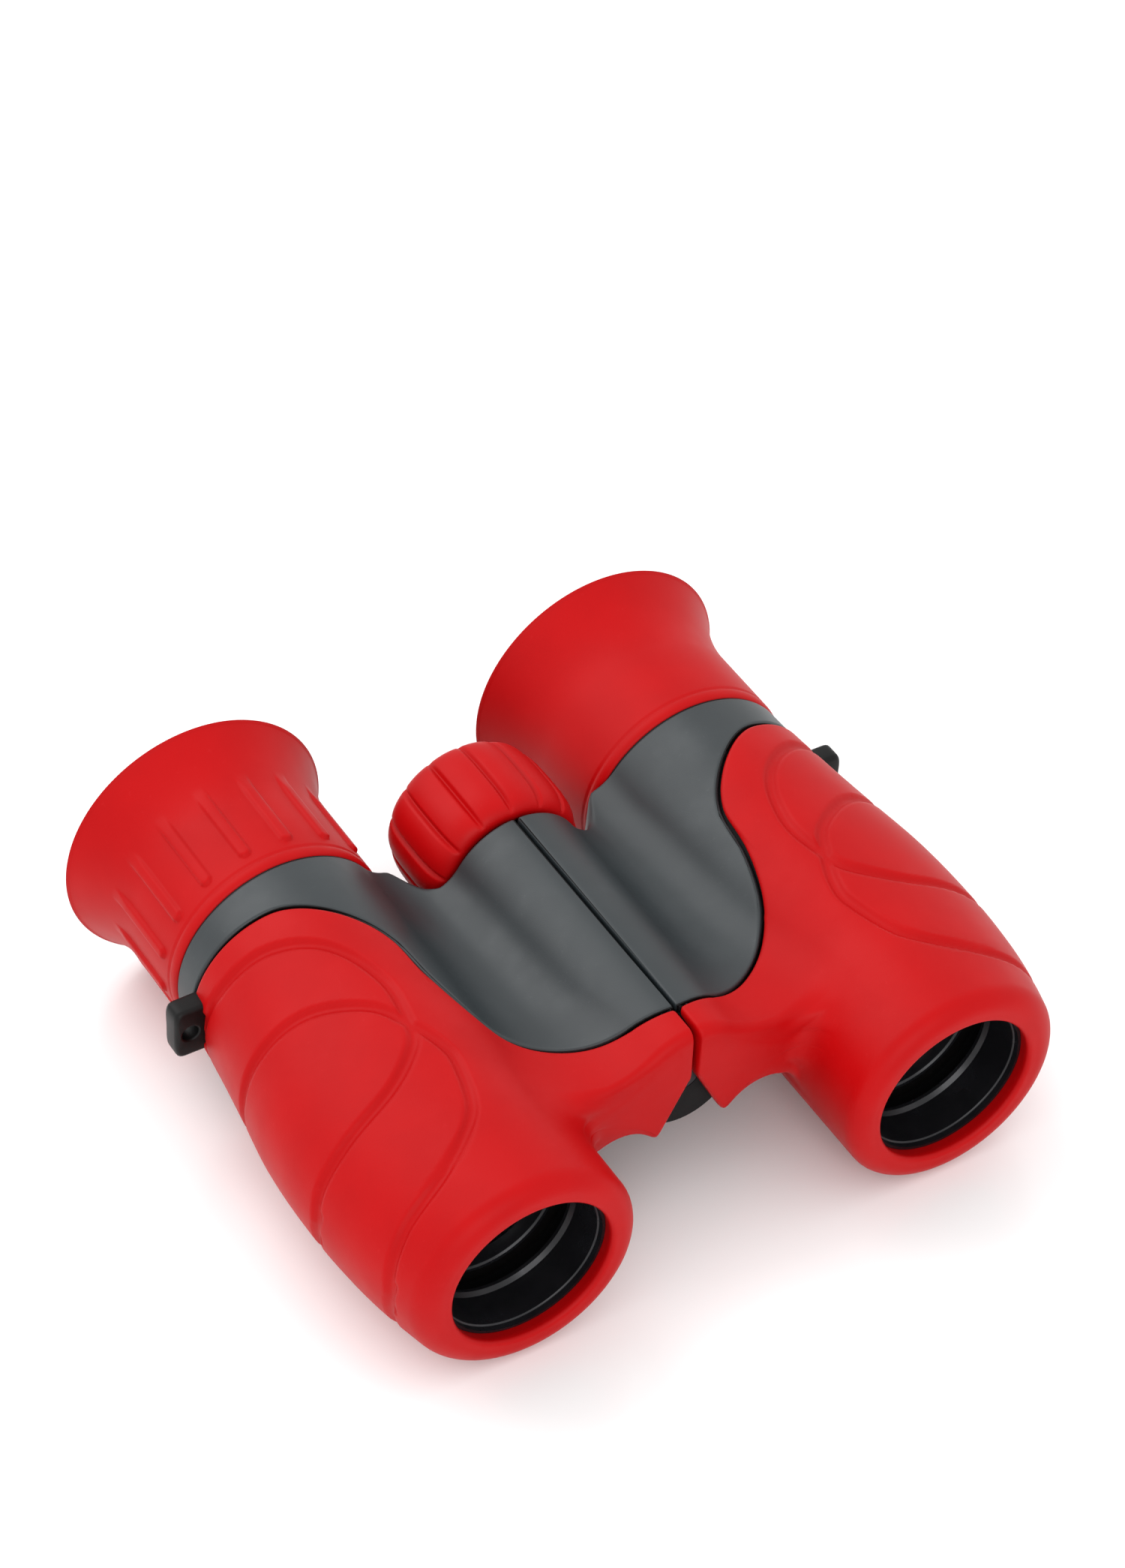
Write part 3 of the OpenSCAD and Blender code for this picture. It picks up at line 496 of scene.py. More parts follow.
def front_face(counts):
    """Rows of y, spread and sink over the front face: a quarter turn inwards from the barrel, a nearly flat face
    and a quarter turn outwards. Both turns shrink on columns where the bridge hardly leaves the barrel, and a
    smooth step takes over where it runs out."""
    columns = sum(counts.values())
    y0 = np.full((1, columns), BRIDGE_FRONT)
    standing, folded = half_outline(y0, 1.0, counts), half_outline(y0, 0.0, counts)
    reach = np.linalg.norm(standing - folded, axis=-1)
    first_leg = 2 * np.linalg.norm(through_neck(standing, folded, counts) - folded, axis=-1)
    rounding = front_round(counts)[None, :]
    sink = np.minimum(rounding, TURN_SHARE * reach)
    hollow = np.minimum(HOLLOW / np.maximum(first_leg, HOLLOW), TURN_SHARE)
    turn = np.linspace(0, np.pi / 2, FACE_TURN_ROWS)[:, None]
    share = np.linspace(0, 1, FACE_FLAT_ROWS)[1:-1, None]
    ones = np.ones((1, columns))
    y = np.concatenate([
        BRIDGE_FRONT - FACE_SLOPE - HOLLOW * (1 - np.sin(turn)) * ones,
        BRIDGE_FRONT + FACE_SLOPE * (2 * share - 1) * ones,
        BRIDGE_FRONT + FACE_SLOPE + rounding * (1 - np.cos(turn)),
    ])
    spread = np.concatenate([hollow * (1 - np.cos(turn)), hollow + (1 - hollow) * share, ones + 0 * turn])
    drawn_in = np.concatenate([sink + 0 * turn, sink + 0 * share, sink * (1 - np.sin(turn))])
    soft = per_column(SOFT_ENDS, counts)[..., 0]
    row = np.linspace(0, 1, len(y))[:, None]
    slope_y = BRIDGE_FRONT - SOFT_BEFORE + (SOFT_BEFORE + SOFT_AFTER) * row
    return y + soft * (slope_y - y), spread + soft * (ease(row) - spread), drawn_in * (1 - soft)


# %% The rubber skin of one half
BARREL_ROWS, DECK_ROWS, INNER_ROWS = 24, 118, 10
LEAST_RUN, INNER_STEP = 0.05, 0.1
EDGE_DISTANCES = np.array([0.8, 0.62, 0.45, 0.3, 0.18, 0.08, 0.02, 0.0])


def armour_edge(counts):
    """Edge of the rubber on each column: the edge line, or the front wall's back where the hinge needs its room."""
    y, stretch = edge_of_columns(SEAM, counts)
    outline = half_outline(np.full((1, len(y)), BRIDGE_FRONT), 1.0, counts)[0]
    inside = np.hypot(outline[:, 0], outline[:, 1] - HINGE_Z) < HINGE_ROOM_R
    return np.where(inside, BRIDGE_FRONT + FRONT_WALL, y), np.where(inside, 1.0, stretch)


def armour_points(counts):
    """All rows of the rubber skin, from the mouth over the outside to the edge and back along the inside."""
    columns = sum(counts.values())
    ones = np.ones((1, columns))
    lip = lip_rows(counts)
    face_y, face_spread, face_sink = front_face(counts)
    edge, stretch = (v[None, :] for v in armour_edge(counts))
    share = np.linspace(0, 1, BARREL_ROWS + 2)[1:-1, None]
    barrel_y = LIP_ROUND + (face_y[:1] - LIP_ROUND) * share
    start, stop = face_y[-1:], edge - EDGE_DISTANCES[0] * stretch
    stop = np.maximum(stop, start + LEAST_RUN)
    share = np.linspace(0, 1, DECK_ROWS + 2)[1:-1, None]
    deck_y = start + (stop - start) * share
    fold = (EDGE_DISTANCES / EDGE_DISTANCES[0])[:, None]
    edge_y = edge - (edge - stop) * fold
    bend = np.maximum(EDGE_ROUND - EDGE_DISTANCES, 0)
    edge_inset = (EDGE_ROUND - np.sqrt(EDGE_ROUND**2 - bend**2))[:, None] * ones
    wall = np.array(EDGE_WALL_SHARES)[:, None] * ones
    wall_inset = EDGE_ROUND + (ARMOUR_T - EDGE_ROUND) * wall
    y = np.concatenate([barrel_y, face_y, deck_y, edge_y, edge + 0 * wall])
    spread = np.concatenate([0 * barrel_y, face_spread, 1 + 0 * deck_y, 1 + 0 * edge_y, 1 + 0 * wall])
    inset = np.concatenate([0 * barrel_y, 0 * face_y, 0 * deck_y, edge_inset, wall_inset])
    sink = np.zeros_like(y)
    sink[len(barrel_y):len(barrel_y) + len(face_y)] = face_sink
    outside = skin(y, spread, inset, counts, sink)
    carved = slice(0, len(barrel_y) + len(face_y) + len(deck_y))
    inset[carved] = channel_inset(outside[carved])
    outside = skin(y, spread, inset, counts, sink)

    back = BRIDGE_FRONT + FRONT_WALL
    share = np.linspace(0, 1, INNER_ROWS)[:, None]
    along_y = edge + (np.minimum(back + INNER_STEP, edge) - edge) * share[1:]
    fold_y = back + INNER_STEP - 2 * INNER_STEP * share[1:] * ones
    barrel_back = back - INNER_STEP + (MOUTH_DEPTH - back + INNER_STEP) * share[1:] * ones
    inside = skin(
        np.concatenate([along_y, fold_y, barrel_back]),
        np.concatenate([1 + 0 * along_y, 1 - share[1:] * ones, 0 * barrel_back]),
        ARMOUR_T, counts)
    return np.concatenate([lip, outside, inside])


for half, side in HALVES.items():
    points = armour_points(FINE)
    quads = grid_quads(*points.shape[:2], wrap_rows=True, wrap_columns=True)
    make_piece(f"{half}_rubber_skin", placed(points, side), quads, f"{half}_half", "red_rubber", f"{half}_armour")

# %% [markdown]
# The grey deck is a thin moulding over the chassis: it fills the space behind the edge line, over the hump and
# the valley and round the collar. It lies a little below the rubber, and its edges are rounded. At the back it
# ends with the bridge, and a sweep carries that edge, rolled over more broadly, on to the end of the collar. The
# floor of the valley lifts a little towards the back, so that it covers the CAD chassis, which shows only in the
# split and below the bridge.

# %% The grey deck of one half
DECK_INSET, DECK_T, DECK_ROUND, DECK_SPLIT = 0.24, 1.3, 0.5, 0.5
DECK_BACK, SWEEP_START_X, SWEEP_END_X = 64.8, 11.5, 19.0
ROLL, ROLL_RISE, ROLL_FADE = 1.7, 3.0, 3.0
FLOOR_LIFT, FLOOR_LIFT_START, FLOOR_LIFT_RISE = 0.2, 46.0, 14.0
VALLEY_FLOOR = {"valley": ((0, 0.3, 0.7, 1), (0, 1, 1, 0))}
COLLAR_GAP = 0.1
DECK_LENGTH_ROWS = 70
DECK_WALL_COLUMNS = 3
DECK_DISTANCES = np.array([0.0, 0.02, 0.08, 0.15, 0.23, 0.32, 0.42, 0.55])


def deck_points(counts):
    """Outer and inner grid of the deck: rows from the edge line to the back edge, columns from the split over the
    hump, the valley and the collar to the underside."""
    edge, stretch = (v[None, :] for v in edge_of_columns(0.0, counts))
    x = half_outline(edge, 1.0, counts)[..., 0]
    swept = ease((x - SWEEP_START_X) / (SWEEP_END_X - SWEEP_START_X))
    last = DECK_BACK + (COLLAR_END - COLLAR_GAP - DECK_BACK) * swept
    distance = DECK_DISTANCES[:, None]
    first_y = edge + distance * stretch
    rolled = ease((last - DECK_BACK) / ROLL_RISE) * (1 - ease((x - SWEEP_END_X + ROLL_FADE) / ROLL_FADE))
    back_round = DECK_ROUND + ROLL * rolled
    back_distance = distance[::-1] * back_round / DECK_ROUND
    last_y = last - back_distance
    share = np.linspace(0, 1, DECK_LENGTH_ROWS + 2)[1:-1, None]
    middle_y = first_y[-1:] + (last_y[:1] - first_y[-1:]) * share
    bend, back_bend = np.maximum(DECK_ROUND - distance, 0), np.maximum(back_round - back_distance, 0)
    drop = DECK_ROUND - np.sqrt(DECK_ROUND**2 - bend**2) + 0 * edge
    back_drop = back_round - np.sqrt(back_round**2 - back_bend**2)
    y = np.concatenate([first_y, middle_y, last_y])
    inset = DECK_INSET + np.concatenate([drop, 0 * middle_y, back_drop])
    inset -= FLOOR_LIFT * per_column(VALLEY_FLOOR, counts)[..., 0] * ease((y - FLOOR_LIFT_START) / FLOOR_LIFT_RISE)
    outer = skin(y, 1.0, inset, counts)
    to_split = DECK_INSET + (SPLIT - DECK_SPLIT) / 2
    outer[..., 0] -= to_split * (1 - ease((outer[..., 0] - SPLIT / 2 - DECK_INSET) / DECK_T))
    inner = skin(y, 1.0, inset + DECK_T, counts)
    shown = counts["hump"] + counts["valley"] + counts["barrel"]
    order = np.concatenate([np.arange(-DECK_WALL_COLUMNS, 0), np.arange(shown + 1)])
    return outer[:, order], inner[:, order]


for half, side in HALVES.items():
    outer, inner = deck_points(PLAIN)
    points = placed(np.stack([outer, inner]), side)
    quads = sheet_quads(*outer.shape[:2])
    make_piece(f"{half}_deck", points, quads, f"{half}_half", "grey_plastic")

# %% [markdown]
# The eyecups are soft trumpets: a profile turned about the barrel axis. The profile runs up the outside from the
# rounded base to the flared rim, over it and down the inside to the lip on the sleeve. The right cup turns to
# set the dioptre, so it has grip ribs: each point near a rib's centre line moves out by a rounded step.

# %% Profile of an eyecup
CUP_R, CUP_BASE_R, CUP_BASE_ROUND = 17.3, 16.7, 1.2
RIM_R, RIM_WALL, FLARE_START, FLARE_POWER = 21.3, 1.3, 85.5, 2.0
CUP_SEAT_R, CUP_LIP_Y, CUP_SLEEVE_R = 13.95, 86.5, 15.45
CUP_LIP_EXTRA, CUP_LIP_ROUND, CUP_LIP_T, CUP_STEP = 0.9, 0.2, 1.5, 0.05
RIB_COUNT, RIB_RISE, RIB_HALF_WIDTH, RIB_CORNER = 16, 0.55, 0.95, 4
RIB_START, RIB_FADE, RIB_END = 75.4, 86.5, 91.0
BASE_LINE, BASE_LINE_DEPTH, BASE_LINE_HALF = 1.9, 0.16, 0.4
CUP_BASE_ROWS, CUP_WALL_ROWS, CUP_RIM_ROWS, CUP_INNER_ROWS, CUP_COLUMNS = 7, 100, 9, 24, 512


def cup_outer(y):
    """Outer radius of a cup: a fine line near the base, straight, then flaring with a power of the distance."""
    share = np.clip((y - FLARE_START) / (LENGTH - FLARE_START), 0, 1)
    line = BASE_LINE_DEPTH * ease(1 - np.abs(y - COLLAR_END - BASE_LINE) / BASE_LINE_HALF)
    return CUP_R + (RIM_R - CUP_R) * share**FLARE_POWER - line


def cup_profile():
    """Radius and y along the whole profile, and a weight that is 1 on the outer wall."""
    turn = np.linspace(0, np.pi / 2, CUP_BASE_ROWS)
    base_y = COLLAR_END + CUP_BASE_ROUND * (1 - np.cos(turn))
    base_r = cup_outer(base_y) - CUP_BASE_ROUND * (1 - np.sin(turn)) * (CUP_R - CUP_BASE_R) / CUP_BASE_ROUND
    half = RIM_WALL / 2
    wall_y = np.linspace(base_y[-1], LENGTH - half, CUP_WALL_ROWS)[1:]
    over = np.linspace(0, np.pi, CUP_RIM_ROWS)[1:-1]
    rim_y = LENGTH - half + half * np.sin(over)
    rim_r = RIM_R - half + half * np.cos(over)
    inner_y = np.linspace(LENGTH - half, CUP_LIP_Y, CUP_INNER_ROWS)
    thick = RIM_WALL + CUP_LIP_EXTRA * (LENGTH - inner_y) / (LENGTH - CUP_LIP_Y)
    inner_r = cup_outer(inner_y) - thick
    seat_r = np.array([CUP_SEAT_R, CUP_SEAT_R, CUP_SLEEVE_R, CUP_SLEEVE_R])
    lip_end = CUP_LIP_Y - CUP_LIP_T
    seat_y = np.array([CUP_LIP_Y - CUP_LIP_ROUND, lip_end, lip_end - CUP_STEP, COLLAR_END])
    r = np.concatenate([base_r, cup_outer(wall_y), rim_r, inner_r, seat_r])
    y = np.concatenate([base_y, wall_y, rim_y, inner_y, seat_y])
    outer = np.zeros(len(r))
    outer[: len(base_r) + len(wall_y)] = 1
    return r, y, outer


def rib_rise(y, angle, outer):
    """Height of the ribs: a rounded step of the distance to a rib's centre line, which starts near the base."""
    pitch = 2 * np.pi / RIB_COUNT
    across = (np.mod(angle, pitch) - pitch / 2) * CUP_R
    short = np.minimum(y - RIB_START - RIB_HALF_WIDTH, 0)
    distance = np.hypot(across, short) / RIB_HALF_WIDTH
    step = np.sqrt(np.clip(1 - distance**RIB_CORNER, 0, 1))
    return RIB_RISE * step * ease((RIB_END - y) / (RIB_END - RIB_FADE)) * outer


def turned(r, y, angle):
    """Points of a profile turned about the barrel axis."""
    return np.stack([AXIS_X + r * np.cos(angle), y + 0 * angle, r * np.sin(angle)], axis=-1)


for half, side in HALVES.items():
    r, y, outer = (v[:, None] for v in cup_profile())
    angle = np.linspace(0, 2 * np.pi, CUP_COLUMNS, endpoint=False)[None, :]
    ribs = rib_rise(y, angle, outer) if half == "right" else 0
    points = turned(r + ribs, y, angle)
    quads = grid_quads(*points.shape[:2], wrap_rows=True, wrap_columns=True)
    body = "dioptre" if half == "right" else "left_half"
    make_piece(f"{half}_soft_eyecup", placed(points, side), quads, body, "red_rubber", f"{half}_eyecup")

# %% [markdown]
# The focus wheel is a fat rubber ring on the knob's hub, like a small pumpkin. Its section is a rounded box, a
# superellipse, turned about the hinge, and narrow creases part its segments.

# %% The focus grip
GRIP_LOW, GRIP_HIGH = corners_mm("focus_grip")
GRIP_R = (GRIP_HIGH[0] - GRIP_LOW[0]) / 2
HUB_R = (corners_mm("focus_hub")[1][0] - corners_mm("focus_hub")[0][0]) / 2
GRIP_POWER, GRIP_REACH, GRIP_SEGMENTS, SEGMENT_CROWN = 3.2, 1.7, 14, 0.3
CREASE_DEPTH, CREASE_HALF_WIDTH, CREASE_FADE = 0.6, 0.7, 1.4
GRIP_ROWS, GRIP_COLUMNS = 64, 448


def grip_points():
    """Superellipse section turned about the hinge, less the creases, which fade towards the hub."""
    turn = np.linspace(0, np.pi, GRIP_ROWS)[:, None]
    angle = np.linspace(0, 2 * np.pi, GRIP_COLUMNS, endpoint=False)[None, :]
    middle = (GRIP_LOW[1] + GRIP_HIGH[1] - GRIP_REACH) / 2
    half = (GRIP_HIGH[1] - GRIP_LOW[1] + GRIP_REACH) / 2
    across = np.sign(np.cos(turn)) * np.abs(np.cos(turn)) ** (2 / GRIP_POWER)
    out = np.sin(turn) ** (2 / GRIP_POWER)
    pitch = 2 * np.pi / GRIP_SEGMENTS
    phase = (np.mod(angle, pitch) - pitch / 2) / (pitch / 2)
    distance = np.abs(phase) * pitch / 2 * GRIP_R
    crease = CREASE_DEPTH * ease(1 - distance / CREASE_HALF_WIDTH) + SEGMENT_CROWN * (1 - np.abs(phase)) ** 2
    r = HUB_R + (GRIP_R - HUB_R) * out - crease * ease(1 - CREASE_FADE * (1 - out))
    y = middle + half * across
    points = np.stack([r * np.cos(angle), y + 0 * angle, HINGE_Z + AXIS_Z + r * np.sin(angle)], axis=-1)
    bore = np.stack([HUB_R * np.cos(angle), middle + 0 * angle, HINGE_Z + AXIS_Z + HUB_R * np.sin(angle)], axis=-1)
    return np.concatenate([points, bore]) * MM


points = grip_points()
quads = grid_quads(*points.shape[:2], wrap_rows=True, wrap_columns=True)
make_piece("focus_wheel_grip", points, quads, "focus_knob", "red_rubber", "focus_grip")

# %% [markdown]
# A strap lug is a small moulded block with an eye through it. Going round the eye, the section of the block is a
# frame with rounded corners: out over one face, across the edge and back over the other face. Carried round the
# eye, that section gives the whole block as one closed grid.

# %% The strap lugs
LUG_LOW, LUG_HIGH = corners_mm("left_strap_lug")
LUG_EDGE, LUG_CORNER, LUG_SINK = 0.8, 5, 0.6
LUG_TURN_ROWS, LUG_COLUMNS = 6, 96
EYE_R, EYE_WALL, EYE_EDGE = 1.3, 1.1, 0.35
EYE_X = LUG_HIGH[0] - EYE_WALL - EYE_R


def lug_points():
    """Superellipse block round the eye: rows go from the eye over a face, the edge, the other face and back."""
    angle = np.linspace(0, 2 * np.pi, LUG_COLUMNS, endpoint=False)[None, :]
    c, s = np.cos(angle), np.sin(angle)
    out, inwards = LUG_HIGH[0] - EYE_X, EYE_X - LUG_LOW[0] + LUG_SINK
    high = (LUG_HIGH[2] - LUG_LOW[2]) / 2
    width = np.where(c > 0, out, inwards)
    edge = (np.abs(c / width) ** LUG_CORNER + np.abs(s / high) ** LUG_CORNER) ** (-1 / LUG_CORNER)
    thick = (LUG_HIGH[1] - LUG_LOW[1]) / 2
    turn = np.linspace(0, np.pi / 2, LUG_TURN_ROWS)[:, None]
    near = EYE_R + EYE_EDGE * (1 - np.cos(turn)) + 0 * angle
    near_y = thick - EYE_EDGE * (1 - np.sin(turn)) + 0 * angle
    far = edge - LUG_EDGE * (1 - np.sin(turn))
    far_y = thick - LUG_EDGE * (1 - np.cos(turn)) + 0 * angle
    reach = np.concatenate([near, far])
    y = np.concatenate([near_y, far_y])
    reach, y = np.concatenate([reach, reach[::-1]]), np.concatenate([y, -y[::-1]])
    middle = (LUG_LOW[1] + LUG_HIGH[1]) / 2 - FRONT_Y
    return np.stack([EYE_X + reach * c, middle + y, reach * s], axis=-1)


for half, side in HALVES.items():
    points = lug_points()
    quads = grid_quads(*points.shape[:2], wrap_rows=True, wrap_columns=True)
    make_piece(f"{half}_lug", placed(points, side), quads, f"{half}_half", "black_plastic", f"{half}_strap_lug")

# %% [markdown]
# Behind each lip, deep enough for the rubber's inner wall to show, sits a black sleeve with fine steps that stop
# stray light, and the front of the objective cell carries a stepped ring. Both are profiles turned about the
# barrel axis; their small bevels catch the light as thin bright rings.

# %% Sleeves and rings in the mouth
SLEEVE_LOW, SLEEVE_HIGH = corners_mm("left_front_sleeve")
SLEEVE_FRONT, SLEEVE_BACK = SLEEVE_LOW[1] - FRONT_Y, SLEEVE_HIGH[1] - FRONT_Y
SLEEVE_R = (SLEEVE_HIGH[0] - SLEEVE_LOW[0]) / 2
BAFFLE_FRONT, BAFFLE_FRONT_R, BAFFLE_BORE_R = 2.4, 12.9, 12.41
SHOULDER, SHOULDER_R, CONE_START, CONE_END, CONE_R = 3.3, 12.2, 8.9, 9.5, 11.65
SHOULDER_BEVEL_R, SHOULDER_BEVEL_Y = 0.12, 0.14
FINE_STEP, CHAMFER, FRONT_CHAMFER = 0.05, 0.1, 0.15
TURN_COLUMNS, SHARP_ANGLE = 192, math.radians(25)


def sleeve_profile():
    """Radius and y of a sleeve: a thin collar behind the lip, a shoulder, a smooth bore and a cone at its back."""
    r = [BAFFLE_FRONT_R, BAFFLE_BORE_R + FINE_STEP, BAFFLE_BORE_R,
         SHOULDER_R + SHOULDER_BEVEL_R, SHOULDER_R, SHOULDER_R - FINE_STEP, CONE_R,
         CONE_R, SLEEVE_R - CHAMFER, SLEEVE_R, SLEEVE_R, BAFFLE_FRONT_R + FRONT_CHAMFER]
    y = [BAFFLE_FRONT, BAFFLE_FRONT, SHOULDER - FINE_STEP,
         SHOULDER, SHOULDER + SHOULDER_BEVEL_Y, CONE_START, CONE_END,
         SLEEVE_BACK - CHAMFER, SLEEVE_BACK, SLEEVE_BACK - CHAMFER, SLEEVE_FRONT, SLEEVE_FRONT - CHAMFER]
    return np.array(r), np.array(y)


def turned_piece(name, profile, half, body, slot, *nodes):
    """A closed profile turned about the barrel axis. Edges that turn by more than the sharp angle stay crisp."""
    r, y = (v[:, None] for v in profile)
    angle = np.linspace(0, 2 * np.pi, TURN_COLUMNS, endpoint=False)[None, :]
    points = turned(r, y, angle)
    quads = grid_quads(*points.shape[:2], wrap_rows=True, wrap_columns=True)
    obj = make_piece(name, placed(points, HALVES[half]), quads, body, slot, *nodes)
    obj.data.set_sharp_from_angle(angle=SHARP_ANGLE)


RING_LOW, RING_HIGH = corners_mm("left_objective_ring")
RING_FRONT, RING_BACK = RING_LOW[1] - FRONT_Y, RING_HIGH[1] - FRONT_Y
RING_R = (RING_HIGH[0] - RING_LOW[0]) / 2
RING_FLAT, RING_BEVEL, RING_WALL = 0.55, 0.8, 1.0
RING_BEVEL_DEPTH, RING_WALL_DEPTH = 0.25, 0.9


def ring_profile():
    """Radius and y of a retaining ring: a flat front, then a narrow and a long bevel towards the lens."""
    r = [RING_R, RING_R - RING_FLAT, RING_R - RING_BEVEL, RING_R - RING_WALL, RING_R - RING_WALL, RING_R]
    y = [RING_FRONT, RING_FRONT, RING_FRONT + RING_BEVEL_DEPTH, RING_FRONT + RING_WALL_DEPTH, RING_BACK, RING_BACK]
    return np.array(r), np.array(y)


for half in HALVES:
    turned_piece(f"{half}_baffle", sleeve_profile(), half, f"{half}_half", "black_anodised",
                 f"{half}_front_sleeve")
    turned_piece(f"{half}_lens_ring", ring_profile(), half, f"{half}_focus", "black_anodised",
                 f"{half}_objective_ring")

# %% [markdown]
# Finishes. Small irregularities make a surface look real: a fine grain from the mould, patches where hands have
# polished it, faint dust. Both effects are shader groups, built once and placed in each material with their own
# values. A group only hands out masks and heights, and the Principled shader stays in the material.

# %% Shader groups for grain and handling
CELL_SHARE = 0.6
POLISH_RANGE, SPECK_RANGE, DUSTY_RANGE = (0.42, 0.72), (0.64, 0.8), (0.3, 0.6)


def new_group(name, inputs, outputs):
    """Empty shader group with named value sockets and a coordinate input, returned with its input and output nodes.
    """
    group = bpy.data.node_groups.new(name, "ShaderNodeTree")
    group.interface.new_socket("Coordinate", in_out="INPUT", socket_type="NodeSocketVector")
    for title, value in inputs.items():
        socket = group.interface.new_socket(title, in_out="INPUT", socket_type="NodeSocketFloat")
        socket.default_value = value
    for title in outputs:
        group.interface.new_socket(title, in_out="OUTPUT", socket_type="NodeSocketFloat")
    return group, group.nodes.new("NodeGroupInput"), group.nodes.new("NodeGroupOutput")


def noise(tree, coordinate, scale, detail, roughness):
    """Noise texture on a coordinate, with its scale linked to a socket."""
    node = tree.nodes.new("ShaderNodeTexNoise")
    node.inputs["Detail"].default_value = detail
    node.inputs["Roughness"].default_value = roughness
    tree.links.new(coordinate, node.inputs["Vector"])
    tree.links.new(scale, node.inputs["Scale"])
    return node.outputs["Fac"]


def math_node(tree, operation, first, second):
    """Math node whose inputs are sockets or numbers."""
    node = tree.nodes.new("ShaderNodeMath")
    node.operation = operation
    for socket, value in zip(node.inputs, (first, second)):
        if isinstance(value, (int, float)):
            socket.default_value = value
        else:
            tree.links.new(value, socket)
    return node.outputs[0]


def remapped(tree, value, low, high):
    """Value stretched from the range low to high onto 0 to 1, smoothly."""
    node = tree.nodes.new("ShaderNodeMapRange")
    node.interpolation_type = "SMOOTHSTEP"
    node.inputs["From Min"].default_value = low
    node.inputs["From Max"].default_value = high
    tree.links.new(value, node.inputs["Value"])
    return node.outputs["Result"]


def moulded_grain():
    """Fine grain of a moulded surface, as a height: a share of the cells plus a noise of the same size. A broad
    wave goes with it, for the colour."""
    group, start, end = new_group("moulded_grain", {"Grain": 4000.0, "Wave": 120.0}, ["Height", "Wave"])
    coordinate = start.outputs["Coordinate"]
    cells = group.nodes.new("ShaderNodeTexVoronoi")
    cells.feature = "SMOOTH_F1"
    group.links.new(coordinate, cells.inputs["Vector"])
    group.links.new(start.outputs["Grain"], cells.inputs["Scale"])
    fine = noise(group, coordinate, start.outputs["Grain"], detail=3.0, roughness=0.6)
    height = math_node(group, "MULTIPLY_ADD", cells.outputs["Distance"], CELL_SHARE)
    group.links.new(fine, height.node.inputs[2])
    group.links.new(height, end.inputs["Height"])
    wave = noise(group, coordinate, start.outputs["Wave"], detail=3.0, roughness=0.55)
    group.links.new(wave, end.inputs["Wave"])
    return group


def handled_patches():
    """Patches that hands have polished and specks of dust, as two masks."""
    group, start, end = new_group("handled_patches", {"Patch": 60.0, "Speck": 900.0}, ["Polish", "Dust"])
    coordinate = start.outputs["Coordinate"]
    patch = noise(group, coordinate, start.outputs["Patch"], detail=4.0, roughness=0.6)
    group.links.new(remapped(group, patch, *POLISH_RANGE), end.inputs["Polish"])
    speck = noise(group, coordinate, start.outputs["Speck"], detail=2.0, roughness=0.5)
    dusty = remapped(group, patch, *DUSTY_RANGE)
    both = math_node(group, "MULTIPLY", remapped(group, speck, *SPECK_RANGE), dusty)
    group.links.new(both, end.inputs["Dust"])
    return group


GRAIN, HANDLED = moulded_grain(), handled_patches()
print("shader groups:", GRAIN.name, HANDLED.name)


# %% [markdown]
# A finish starts from three colours of the same stuff: as moulded, where it is worn, and where dust lies. The
# grain feeds a bump node and a little of the roughness, and the polished patches shine slightly more.

# %% A moulded finish
WAVE_PER_PATCH, SPECK_PER_GRAIN = 1.7, 0.22
WAVE_RANGE, WORN_SHARE, DUST_SHARE = (0.3, 0.7), 0.5, 0.35
GRAIN_HEIGHT = 0.1 * MM


def srgb(red, green, blue):
    """Display colour from 0 to 255 as the linear colour that Blender's sockets take: the sRGB curve undone."""
    c = np.array([red, green, blue]) / 255
    linear = np.where(c <= 0.04045, c / 12.92, ((c + 0.055) / 1.055) ** 2.4)
    return (*linear.tolist(), 1.0)


def placed_group(material, group, coordinate, values):
    """A group in a material, with its values set on its sockets."""
    tree = material.node_tree
    node = tree.nodes.new("ShaderNodeGroup")
    node.node_tree = group
    tree.links.new(coordinate, node.inputs["Coordinate"])
    for title, value in values.items():
        node.inputs[title].default_value = value
    return node


def mixed(tree, factor, first, second):
    """Colour mix between a socket or colour and another, by a factor socket."""
    node = tree.nodes.new("ShaderNodeMix")
    node.data_type = "RGBA"
    tree.links.new(factor, node.inputs["Factor"])
    for socket, value in zip((node.inputs[6], node.inputs[7]), (first, second)):
        if isinstance(value, tuple):
            socket.default_value = value
        else:
            tree.links.new(value, socket)
    return node.outputs[2]


